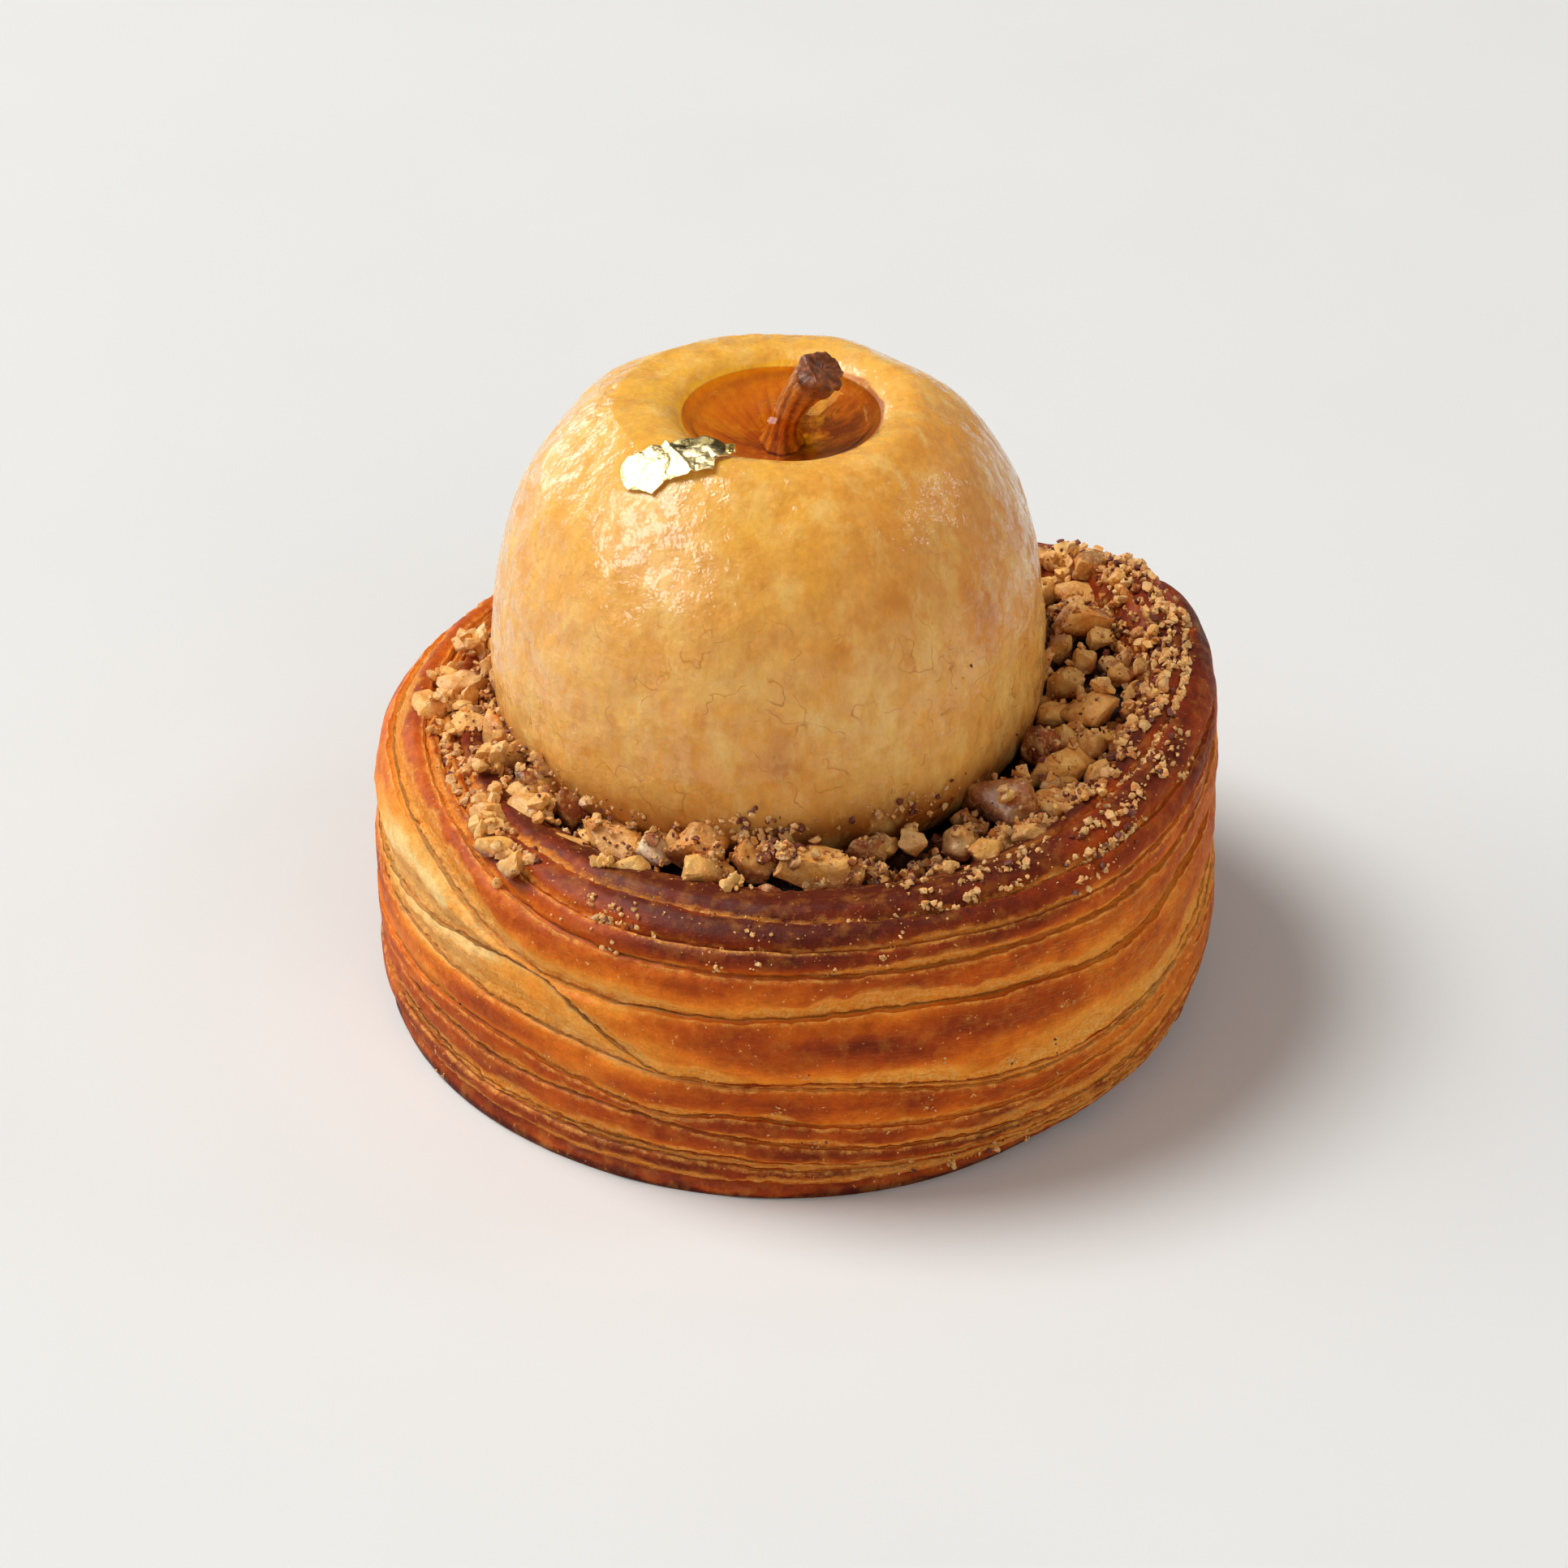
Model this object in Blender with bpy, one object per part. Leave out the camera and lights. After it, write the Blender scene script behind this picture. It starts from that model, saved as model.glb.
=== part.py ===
"""Apple tart: a peeled, glazed apple in a ring of laminated pastry. Chopped nuts fill the ring round the apple,
syrup fills the apple's hollow, and the stalk and a flake of gold leaf top it. It rests on z = 0, +Z up.

Sizes are in millimetres and azimuths in degrees from +X towards +Y. The front is at azimuth 270. A point is placed
from the ring's own axis, and solid() turns it into metres round the middle of the footprint.
"""

import math
import random

import bmesh
import bpy
import numpy as np

METRES = 0.001
RING_AXIS_X = -1.1  # the ring bulges to the right, so its axis lies left of the middle of the footprint
GAP = 0.35  # between two pieces that touch

# Pastry case
CASE_COLUMNS = 60
WALL_RADIUS = 49.75
RIGHT_SWELL = 1.2  # how far the whole right side stands out
RIGHT_BULGE = 1.1  # how far its belly stands out further
LEFT_LEAN = 2.2  # how far the left side leans in at its top
SHOULDER_RADIUS = 5.0
RIM_FALL = 0.12  # drop of the rim for each millimetre inwards
CONTACT_RADIUS = [(0, 47.6), (90, 48.6), (180, 49.4), (225, 49.7), (285, 49.7), (315, 47.8)]
RECESS_FLOOR = 21.8
RECESS_FLOOR_RADIUS = 30.0
BAND_BULGE = 0.55
CRACK_DEPTH = 0.75
FULL_RELIEF_WIDTH = 2.4  # a band narrower than this has less relief

RIM_HEIGHT = [(0, 43.5), (20, 43.0), (35, 40.0), (50, 36.6), (90, 35.0), (140, 34.0), (180, 35.5), (225, 36.5),
              (270, 37.0), (300, 37.5), (325, 39.5), (345, 42.5)]

# Upper edges of the bands of the wall, from the lowest up, as heights.
WALL_EDGES = [
    [(0, 2.4), (60, 1.8), (120, 2.4), (180, 2.6), (215, 2.8), (245, 2.2), (275, 1.8), (305, 2.6), (335, 2.8)],
    [(0, 5.2), (60, 5.0), (120, 6.0), (195, 6.0), (225, 5.5), (250, 4.9), (270, 4.0), (290, 3.4), (330, 3.6)],
    [(0, 6.9), (60, 6.6), (120, 7.5), (180, 7.8), (205, 7.0), (225, 6.1), (255, 5.5), (280, 4.4), (325, 4.4)],
    [(0, 10.2), (60, 9.8), (120, 11.0), (180, 11.0), (230, 10.2), (246, 10.1), (269, 7.6), (295, 5.8), (325, 6.4)],
    [(0, 14.4), (60, 13.8), (120, 14.5), (180, 14.2), (210, 13.7), (223, 14.2), (241, 12.5), (254, 10.7),
     (262, 11.5), (277, 10.1), (305, 9.3), (325, 11.0), (340, 13.4)],
    [(0, 17.0), (60, 18.5), (120, 19.6), (180, 20.0), (225, 19.2), (241, 18.1), (254, 16.2), (277, 15.7),
     (301, 12.8), (317, 12.7), (335, 14.8)],
    [(0, 20.5), (60, 22.0), (120, 23.2), (180, 23.4), (207, 23.2), (222, 24.8), (236, 24.8), (244, 20.6),
     (252, 16.9), (277, 16.3), (301, 13.4), (317, 13.3), (335, 15.6)],
    [(0, 27.6), (60, 27.4), (120, 31.0), (170, 32.6), (203, 32.8), (220, 29.5), (231, 26.3), (240, 25.5),
     (262, 25.4), (281, 26.4), (303, 25.2), (322, 23.8), (338, 26.4)],
]
# Grooves between the coiled ridges of the rim, from the outermost in, as distances inwards from the wall's top
# corner. A groove that has rolled down onto the wall is below zero.
RIM_GROOVES = [
    [(0, -8.5), (20, -8.0), (45, -4.5), (90, 1.0), (140, 3.5), (180, 3.9), (200, 2.6), (215, 0.6), (226, -1.8),
     (237, -4.0), (270, -5.4), (300, -6.0), (320, -8.2), (340, -8.9)],
    [(0, -6.4), (20, -5.9), (45, -2.6), (90, 3.0), (140, 5.4), (180, 5.8), (215, 3.0), (240, -1.0), (270, -1.8),
     (300, -2.6), (320, -5.0), (340, -6.3)],
    [(0, -3.8), (20, -3.4), (45, 0.2), (90, 5.2), (140, 7.3), (180, 7.5), (225, 4.7), (270, 2.5), (300, 1.2),
     (315, 0.0), (340, -2.4)],
    [(0, 2.2), (12, 0.8), (25, -0.8), (45, 2.2), (90, 8.0), (140, 10.6), (180, 11.0), (225, 9.5), (270, 8.6),
     (300, 7.2), (340, 3.6)],
    [(0, 7.4), (25, 7.2), (45, 7.8), (90, 9.8), (140, 11.8), (180, 12.2), (225, 10.6), (270, 9.5), (300, 8.7),
     (340, 7.4)],
]
BAND_STRENGTH = [0.5, 1.0, 0.3, 1.0, 1.1, 1.2, 0.8, 1.9, 1.7, 0.9, 1.1, 1.9, 1.7]  # relief, from the foot in

# Apple
APPLE_COLUMNS = 36
APPLE_X = -2.0
APPLE_RADIUS = 33.0
APPLE_EQUATOR = 42.1
APPLE_RISE = 38.3
APPLE_DROP = 20.0
TOP_SQUARENESS = 2.6
PEEL_FACET = 0.22
CREST_RADIUS = 18.0
HOLLOW_X = -0.7
HOLLOW_PROFILE = [(16.0, 77.6), (14.0, 77.4), (12.6, 76.8), (11.7, 75.9), (9.8, 74.4), (7.0, 72.8), (4.2, 71.4)]
HOLLOW_BOTTOM = 71.1
SYRUP_LEVEL = 75.5

# Stalk, from its foot to its cut end
STALK_PATH = [(-0.6, 1.0, 72.3), (-0.3, -0.6, 77.6), (4.3, -4.7, 84.3)]
STALK_RADII = [(0.0, 2.0), (0.15, 1.7), (0.4, 1.65), (0.65, 1.9), (0.85, 2.25), (0.95, 2.45), (1.0, 2.25)]
STALK_SIDES = 12

# Gold leaf: its front and back edges, seen from above
LEAF_FRONT = [(-18.8, -14.4), (-18.0, -16.2), (-15.1, -17.7), (-13.4, -16.7), (-12.1, -17.0), (-8.4, -16.8),
              (-7.8, -14.8), (-5.8, -13.3)]
LEAF_BACK = [(-18.8, -13.0), (-16.2, -12.4), (-12.9, -11.3), (-10.9, -10.9), (-7.6, -12.1), (-5.8, -12.9)]
LEAF_CELLS = (16, 5)
LEAF_THICKNESS = 0.3
LEAF_WAVE = 0.22

# Nuts: azimuth, radius, length, width, height and turn of the largest, then how many smaller ones lie round them
HEAP_COLUMNS = 40
HEAP_BELOW_RIM = 2.8
HEAP_AT_APPLE = [(0, 39.0), (45, 38.0), (90, 36.0), (140, 36.0), (180, 37.4), (215, 37.2), (250, 36.0), (285, 36.0),
                 (320, 37.6)]
LARGE_LIFT = 0.27  # how far a nut's middle stands over the bare heap, as a share of its height
SMALL_LIFT = 0.15
LARGE_NUTS = [(187, 34.6, 5.0, 4.2, 7.0, 0), (181, 37.0, 5.0, 4.4, 3.6, 20), (208, 34.6, 7.6, 5.4, 4.8, 80),
              (217, 34.2, 5.8, 3.4, 3.8, 60), (235, 35.2, 6.6, 4.8, 4.2, 70), (228, 36.4, 4.4, 3.4, 4.2, 0),
              (243, 37.3, 5.0, 3.6, 3.2, 30), (254, 36.6, 5.0, 4.2, 4.4, 10), (252, 34.0, 5.2, 4.4, 6.4, 75),
              (264, 34.2, 4.8, 4.8, 6.6, 0), (275, 36.8, 8.0, 6.0, 5.2, 85), (291, 34.4, 3.4, 3.4, 3.6, 30),
              (300, 36.2, 6.0, 4.6, 4.4, 60), (308, 38.6, 4.6, 4.0, 3.6, 20), (315, 35.0, 12.0, 6.0, 6.6, 100),
              (331, 37.6, 7.0, 4.2, 4.4, 50), (338, 34.6, 4.6, 4.4, 6.0, 0), (349, 37.4, 8.4, 5.6, 5.4, 70),
              (344, 41.0, 5.0, 4.4, 4.0, 20), (5, 38.8, 7.0, 5.0, 5.0, 40), (357, 41.4, 5.0, 4.0, 4.0, 80),
              (18, 37.4, 6.0, 5.0, 5.0, 15), (34, 40.2, 4.8, 4.2, 4.0, 60), (47, 37.2, 5.2, 4.4, 4.2, 30)]
SMALL_NUTS = 58
SMALL_NUT_SIZE = (3.2, 5.2)
NUT_CORNERS = 10
NUT_CLEARANCE = 0.65
NUT_SPILL = 1.6  # how far a nut may lean out over the rim for each millimetre above the lip
SEED = 12

COLOURS = {
    "pastry_case": (0.56, 0.24, 0.07, 1.0),
    "apple": (0.78, 0.52, 0.22, 1.0),
    "syrup": (0.62, 0.25, 0.03, 1.0),
    "stalk": (0.22, 0.08, 0.03, 1.0),
    "nuts": (0.62, 0.38, 0.16, 1.0),
    "gold_leaf": (0.92, 0.72, 0.28, 1.0),
}
ROUGHNESS = {"pastry_case": 0.5, "apple": 0.15, "syrup": 0.05, "stalk": 0.45, "nuts": 0.55, "gold_leaf": 0.2}


def clear_scene():
    for item in list(bpy.data.objects):
        bpy.data.objects.remove(item, do_unlink=True)


def material(name):
    made = bpy.data.materials.new(name)
    made.use_nodes = True
    shader = made.node_tree.nodes["Principled BSDF"]
    shader.inputs["Base Color"].default_value = COLOURS[name]
    shader.inputs["Roughness"].default_value = ROUGHNESS[name]
    shader.inputs["Metallic"].default_value = 1.0 if name == "gold_leaf" else 0.0
    return made


def solid(name, points, faces):
    """An object from points in millimetres round the ring's axis, with its faces turned outwards."""
    mesh = bpy.data.meshes.new(name)
    mesh.from_pydata((np.asarray(points) * METRES).tolist(), [], faces)
    sides = bmesh.new()
    sides.from_mesh(mesh)
    bmesh.ops.recalc_face_normals(sides, faces=sides.faces)
    bmesh.ops.triangulate(sides, faces=sides.faces)
    sides.to_mesh(mesh)
    sides.free()
    mesh.shade_smooth()
    mesh.set_sharp_from_angle(angle=math.radians(50))
    made = bpy.data.objects.new(name, mesh)
    made.location.x = RING_AXIS_X * METRES
    bpy.context.scene.collection.objects.link(made)
    return made


def stack(rings, start=None, end=None):
    """Points and faces of rings joined one to the next. A point closes each end, or else the last ring joins the
    first."""
    count = len(rings[0])
    points = [tuple(point) for ring in rings for point in ring]
    joined = len(rings) - 1 if start is not None else len(rings)
    faces = []
    for row in range(joined):
        low = row * count
        high = (row + 1) % len(rings) * count
        for i in range(count):
            j = (i + 1) % count
            faces.append((low + i, low + j, high + j, high + i))
    if start is not None:
        last = (len(rings) - 1) * count
        points += [start, end]
        for i in range(count):
            j = (i + 1) % count
            faces.append((len(points) - 2, j, i))
            faces.append((len(points) - 1, last + i, last + j))
    return points, faces


def azimuths(columns):
    return np.arange(columns) * 360.0 / columns


def circle(azimuth, radius, height, centre_x=0.0):
    angle = np.radians(azimuth)
    return np.stack([centre_x + radius * np.cos(angle), radius * np.sin(angle), height + 0 * angle], axis=1)


def around(knots, azimuth):
    """The smooth closed curve through knots, (azimuth, value) pairs in rising order, read at an azimuth."""
    places, values = np.array(knots, float).T
    places = np.concatenate([places - 360, places, places + 360])
    values = np.tile(values, 3)
    slopes = np.gradient(values, places)
    azimuth = np.mod(azimuth, 360)
    i = np.searchsorted(places, azimuth, side="right") - 1
    span = places[i + 1] - places[i]
    t = (azimuth - places[i]) / span
    rise = values[i + 1] - values[i]
    start, end = slopes[i] * span, slopes[i + 1] * span
    return values[i] + t * (start + t * (3 * rise - 2 * start - end + t * (start + end - 2 * rise)))


def wall_radius(azimuth, height):
    right = np.clip(np.cos(np.radians(azimuth)), 0, None) ** 1.5
    left = np.clip(-np.cos(np.radians(azimuth)), 0, None)
    swell = RIGHT_SWELL + RIGHT_BULGE * np.exp(-(((height - 12) / 8) ** 2))
    return WALL_RADIUS + right * swell - left * LEFT_LEAN * np.clip((height - 20) / 14, 0, 1) ** 1.5


def case_profile(azimuth, inwards, relief=0.0):
    """Radius and height of the case's outside, at a distance inwards from the top corner of its wall, which is
    below zero on the wall. relief moves the point out along the profile's normal."""
    top = around(RIM_HEIGHT, azimuth)
    turn = np.radians(np.clip(inwards / SHOULDER_RADIUS + 1, 0, 2) * 45)
    height = top - SHOULDER_RADIUS * (1 - np.sin(turn))
    height = height + np.minimum(inwards + SHOULDER_RADIUS, 0)
    height = height - RIM_FALL * np.maximum(inwards - SHOULDER_RADIUS, 0)
    radius = wall_radius(azimuth, height) - SHOULDER_RADIUS * (1 - np.cos(turn))
    radius = radius - np.maximum(inwards - SHOULDER_RADIUS, 0)
    return radius + relief * np.cos(turn), height + relief * np.sin(turn)


def band_edges(azimuth):
    """Every band's upper edge, as distances inwards from the top corner of the wall, from the foot to the lip."""
    top = around(RIM_HEIGHT, azimuth)
    on_wall = [around(edge, azimuth) - top for edge in WALL_EDGES]
    return on_wall + [around(groove, azimuth) for groove in RIM_GROOVES]


def band_rings(azimuth, low, high, strength):
    """One band as rings: it comes out of the crack below, swells, and ends in the lip over the next crack."""
    width = high - low
    depth = np.minimum(1, width / FULL_RELIEF_WIDTH)
    bulge = BAND_BULGE * strength * depth
    steps = [(0.04, -CRACK_DEPTH * depth), (0.22, 0.1 * bulge), (0.65, bulge), (1.0, 0.6 * bulge)]
    return [circle(azimuth, *case_profile(azimuth, low + part * width, relief)) for part, relief in steps]


def recess_radius(azimuth, height):
    """Radius of the recess's slanting wall, which runs from the floor to just under the lip."""
    lip_radius, lip_height = case_profile(azimuth, around(RIM_GROOVES[-1], azimuth))
    share = (height - RECESS_FLOOR) / (lip_height - 2.5 - RECESS_FLOOR)
    return RECESS_FLOOR_RADIUS + (lip_radius - 1.2 - RECESS_FLOOR_RADIUS) * np.clip(share, 0, 1)


def pastry_case():
    azimuth = azimuths(CASE_COLUMNS)
    edges = band_edges(azimuth)
    foot_radius, foot_height = case_profile(azimuth, edges[0])
    contact = around(CONTACT_RADIUS, azimuth)
    rings = [circle(azimuth, contact, 0.0), circle(azimuth, contact + 0.4, 0.4 * foot_height)]
    for low, high, strength in zip(edges, edges[1:], BAND_STRENGTH[1:]):
        rings += band_rings(azimuth, low, high, strength)
    lip_radius, lip_height = case_profile(azimuth, edges[-1])
    rings.append(circle(azimuth, lip_radius - 0.8, lip_height - 1.0))
    under_lip = lip_height - 2.5
    rings.append(circle(azimuth, recess_radius(azimuth, under_lip), under_lip))
    rings.append(circle(azimuth, RECESS_FLOOR_RADIUS, RECESS_FLOOR))
    return solid("pastry_case", *stack(rings, (0, 0, 0), (0, 0, RECESS_FLOOR)))


def apple_radius(height):
    """Radius of the apple's outside at a height, without its facets."""
    up = np.clip((height - APPLE_EQUATOR) / APPLE_RISE, 0, 1)
    down = np.clip((APPLE_EQUATOR - height) / APPLE_DROP, 0, 1)
    return APPLE_RADIUS * (1 - up**TOP_SQUARENESS) ** (1 / TOP_SQUARENESS) * np.sqrt(1 - down**2)


def apple_profile():
    """(radius, height) pairs from the foot over the crest to the bottom of the hollow."""
    pairs = []
    for degrees in range(-84, 0, 12):
        height = APPLE_EQUATOR + APPLE_DROP * math.sin(math.radians(degrees))
        pairs.append((float(apple_radius(height)), height))
    crest = APPLE_RISE * (1 - (CREST_RADIUS / APPLE_RADIUS) ** TOP_SQUARENESS) ** (1 / TOP_SQUARENESS)
    for step in range(10):
        share = math.sin(math.radians(90 * step / 9))
        height = APPLE_EQUATOR + crest * share
        pairs.append((float(apple_radius(height)), height))
    return pairs + HOLLOW_PROFILE


def apple():
    azimuth = azimuths(APPLE_COLUMNS)
    rings = []
    for radius, height in apple_profile():
        inner = max(0.0, min(1.0, (CREST_RADIUS - radius) / 4)) if height > APPLE_EQUATOR else 0.0
        facet = PEEL_FACET * np.cos(np.radians(9 * azimuth + 2 * height)) * (1 - inner) * min(1, radius / 20)
        rings.append(circle(azimuth, radius + facet, height, APPLE_X + inner * (HOLLOW_X - APPLE_X)))
    foot = (APPLE_X, 0, APPLE_EQUATOR - APPLE_DROP)
    return solid("apple", *stack(rings, foot, (HOLLOW_X, 0, HOLLOW_BOTTOM)))


def stalk_point(share):
    """Point and direction on the stalk's bent axis, from 0 at its foot to 1 at its cut end."""
    foot, middle, end = (np.array(point) for point in STALK_PATH)
    point = (1 - share) ** 2 * foot + 2 * share * (1 - share) * middle + share**2 * end
    direction = 2 * (1 - share) * (middle - foot) + 2 * share * (end - middle)
    return point, direction / np.linalg.norm(direction)


def stalk_solid(name, growth, below):
    """The stalk as rings across its axis. growth is added to its radius, and below lengthens its foot."""
    angle = np.radians(azimuths(STALK_SIDES))
    rings = []
    for share, radius in STALK_RADII:
        point, direction = stalk_point(share)
        if share == 0:
            point = point - below * direction
        side = np.cross(direction, (0, 1, 0))
        side /= np.linalg.norm(side)
        other = np.cross(direction, side)
        rings.append(point + (radius + growth) * (np.outer(np.cos(angle), side) + np.outer(np.sin(angle), other)))
    foot, end = rings[0].mean(axis=0), rings[-1].mean(axis=0)
    return solid(name, *stack(rings, foot, end - 0.5 * stalk_point(1)[1]))


def stalk():
    return stalk_solid("stalk", 0.0, 0.0)


def cut(piece, cutter):
    """Takes the cutter's shape out of the piece, and removes the cutter."""
    modifier = piece.modifiers.new("cut", "BOOLEAN")
    modifier.operation = "DIFFERENCE"
    modifier.object = cutter
    apply_modifiers(piece)
    bpy.data.objects.remove(cutter, do_unlink=True)


def apply_modifiers(piece):
    graph = bpy.context.evaluated_depsgraph_get()
    mesh = bpy.data.meshes.new_from_object(piece.evaluated_get(graph))
    piece.modifiers.clear()
    piece.data = mesh


def syrup():
    """The pool in the apple's hollow, with room for the stalk through it."""
    azimuth = azimuths(32)
    hollow = [(radius, height) for radius, height in HOLLOW_PROFILE if height < SYRUP_LEVEL]
    rings = [circle(azimuth, radius - GAP, height + GAP, HOLLOW_X) for radius, height in reversed(hollow)]
    brim = float(np.interp(SYRUP_LEVEL, *np.array(HOLLOW_PROFILE)[::-1, ::-1].T)) - 1.5 * GAP
    rings.append(circle(azimuth, brim, SYRUP_LEVEL, HOLLOW_X))
    bottom = (HOLLOW_X, 0, HOLLOW_BOTTOM + 1.2 * GAP)
    pool = solid("syrup", *stack(rings, bottom, (HOLLOW_X, 0, SYRUP_LEVEL - 0.1)))
    cut(pool, stalk_solid("stalk_room", GAP, 3.0))
    return pool


def leaf_height(x, y):
    """Height of the leaf's underside: it lies in waves on the apple's shoulder."""
    profile = [pair for pair in apple_profile() if pair[1] > APPLE_EQUATOR]
    radii, heights = np.array(profile[::-1]).T
    shoulder = np.interp(math.hypot(x - APPLE_X, y), radii, heights)
    wave = LEAF_WAVE * (1 + math.sin(1.5 * x + 0.7 * y) * math.cos(1.1 * y - 0.4 * x))
    return shoulder + 1.4 * GAP + wave


def gold_leaf():
    """A thin flake: one grid of cells for each face, both split alike, with a rim of quads between them."""
    columns, rows = LEAF_CELLS
    start, end = LEAF_FRONT[0][0], LEAF_FRONT[-1][0]
    under = []
    for i in range(columns + 1):
        x = start + (end - start) * i / columns
        front = np.interp(x, *np.array(LEAF_FRONT).T)
        back = np.interp(x, *np.array(LEAF_BACK).T)
        for j in range(rows + 1):
            y = front + (back - front) * j / rows
            under.append((x, y, leaf_height(x, y)))
    over = [(x, y, z + LEAF_THICKNESS) for x, y, z in under]
    faces = []
    for i in range(columns):
        for j in range(rows):
            a = i * (rows + 1) + j
            b = a + rows + 1
            for corners in ((a, a + 1, b + 1), (a, b + 1, b)):
                faces.append(corners)
                faces.append(tuple(corner + len(under) for corner in reversed(corners)))
    edge = [j for j in range(rows + 1)] + [i * (rows + 1) + rows for i in range(1, columns + 1)]
    edge += [columns * (rows + 1) + j for j in range(rows - 1, -1, -1)]
    edge += [i * (rows + 1) for i in range(columns - 1, 0, -1)]
    for a, b in zip(edge, edge[1:] + edge[:1]):
        faces.append((a, b, b + len(under), a + len(under)))
    return solid("gold_leaf", under + over, faces)


def heap_heights(azimuth):
    """Height of the bare heap of nuts at the apple and at the case."""
    top = around(RIM_HEIGHT, azimuth)
    return around(HEAP_AT_APPLE, azimuth), top - HEAP_BELOW_RIM


def heap_core():
    """The ring that fills the space between the apple and the recess, bare of nuts."""
    azimuth = azimuths(HEAP_COLUMNS)
    at_apple, at_case = heap_heights(azimuth)
    inner = apple_radius(at_apple) + PEEL_FACET + 2 * GAP
    outer = recess_radius(azimuth, at_case) - 2 * GAP
    rings = [
        circle(azimuth, 16.8, RECESS_FLOOR + GAP, APPLE_X),
        circle(azimuth, RECESS_FLOOR_RADIUS - 2 * GAP, RECESS_FLOOR + GAP),
        circle(azimuth, outer, at_case - 0.4),
    ]
    for share in (0.28, 0.64):
        bumps = 0.4 * np.cos(np.radians(azimuth * 11 + 400 * share))
        height = at_case + (at_apple - at_case) * share + bumps
        rings.append(circle(azimuth, outer + (inner - outer) * share, height, APPLE_X * share))
    for share in (1.0, 0.7, 0.4):
        height = RECESS_FLOOR + (at_apple - RECESS_FLOOR) * share
        rings.append(circle(azimuth, apple_radius(height) + PEEL_FACET + 2 * GAP, height, APPLE_X))
    return solid("nuts", *stack(rings))


def settle(point, length):
    """Moves a corner of a nut clear of the apple and of the case. A long nut spans more of the apple's curve."""
    x, y, z = point
    azimuth = math.degrees(math.atan2(y, x)) % 360
    lip_height = float(case_profile(azimuth, around(RIM_GROOVES[-1], azimuth))[1])
    room = float(recess_radius(azimuth, z)) - NUT_CLEARANCE + NUT_SPILL * max(0.0, z - lip_height)
    reach = math.hypot(x, y)
    if reach > room:
        x, y = x * room / reach, y * room / reach
    clear = float(apple_radius(z)) + PEEL_FACET + NUT_CLEARANCE + length**2 / (8 * APPLE_RADIUS)
    away = math.hypot(x - APPLE_X, y)
    if away < clear:
        x = APPLE_X + (x - APPLE_X) * clear / away
        y = y * clear / away
    return x, y, z


def nut(chance, azimuth, radius, size, turn, lift):
    """A broken nut: the hull of a few corners strewn over an ellipsoid, partly sunk in the heap."""
    angle = math.radians(azimuth)
    spin = math.radians(azimuth + turn)
    at_apple, at_case = (float(height) for height in heap_heights(azimuth))
    inner = float(apple_radius(at_apple)) + APPLE_X * math.cos(angle) + 2 * GAP
    outer = max(inner + 1, float(recess_radius(azimuth, at_case)) - 2 * GAP)
    radius = max(inner + 0.2 * size[0], min(radius, outer - 0.25 * size[0]))
    share = min(1.0, (radius - inner) / (outer - inner))
    middle_height = at_apple + (at_case - at_apple) * share + lift * size[2]
    shape = bmesh.new()
    for k in range(NUT_CORNERS):
        up = 1 - 2 * (k + 0.5) / NUT_CORNERS
        flat = math.sqrt(1 - up * up)
        way = 2.4 * k + chance.uniform(-0.35, 0.35)
        grow = chance.uniform(0.85, 1.1)
        along = 0.5 * size[0] * flat * math.cos(way) * grow
        across = 0.5 * size[1] * flat * math.sin(way) * grow
        x = radius * math.cos(angle) + along * math.cos(spin) - across * math.sin(spin)
        y = radius * math.sin(angle) + along * math.sin(spin) + across * math.cos(spin)
        shape.verts.new(settle((x, y, middle_height + 0.5 * size[2] * up * grow), size[0]))
    bmesh.ops.convex_hull(shape, input=shape.verts)
    loose = [corner for corner in shape.verts if not corner.link_faces]
    bmesh.ops.delete(shape, geom=loose, context="VERTS")
    shape.verts.index_update()
    points = [tuple(corner.co) for corner in shape.verts]
    faces = [tuple(corner.index for corner in face.verts) for face in shape.faces]
    shape.free()
    return solid("nut", points, faces)


def nuts():
    """The heap: its bare ring with the nuts that show joined to it."""
    chance = random.Random(SEED)
    pieces = bpy.data.collections.new("nut_pieces")
    for azimuth, radius, length, width, height, turn in LARGE_NUTS:
        pieces.objects.link(nut(chance, azimuth, radius, (length, width, height), turn, LARGE_LIFT))
    for k in range(SMALL_NUTS):
        azimuth = 360 * (k + chance.uniform(0.1, 0.9)) / SMALL_NUTS
        size = [chance.uniform(*SMALL_NUT_SIZE) for _ in range(3)]
        radius = 34.0 + (k % 3) * 2.4 + chance.uniform(-0.6, 0.6)
        pieces.objects.link(nut(chance, azimuth, radius, size, chance.uniform(0, 180), SMALL_LIFT))
    heap = heap_core()
    modifier = heap.modifiers.new("join", "BOOLEAN")
    modifier.operation = "UNION"
    modifier.operand_type = "COLLECTION"
    modifier.collection = pieces
    apply_modifiers(heap)
    for piece in list(pieces.objects):
        bpy.data.objects.remove(piece, do_unlink=True)
    bpy.data.collections.remove(pieces)
    return heap


def main():
    clear_scene()
    for piece in (pastry_case(), apple(), syrup(), stalk(), gold_leaf(), nuts()):
        piece.data.materials.clear()
        piece.data.materials.append(material(piece.name))


main()
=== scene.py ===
"""Looks of the apple tart: a glazed apple in a ring of laminated pastry, with chopped nuts between.

Shapes are worked out in millimetres round the ring's own axis, and piece() turns them into metres in
the row's frame. Azimuths are in degrees from +X towards +Y, and the front is at 270.
"""

import itertools
import math

import bmesh
import bpy
import numpy as np
from mathutils import Euler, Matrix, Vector
from mathutils.bvhtree import BVHTree

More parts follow.
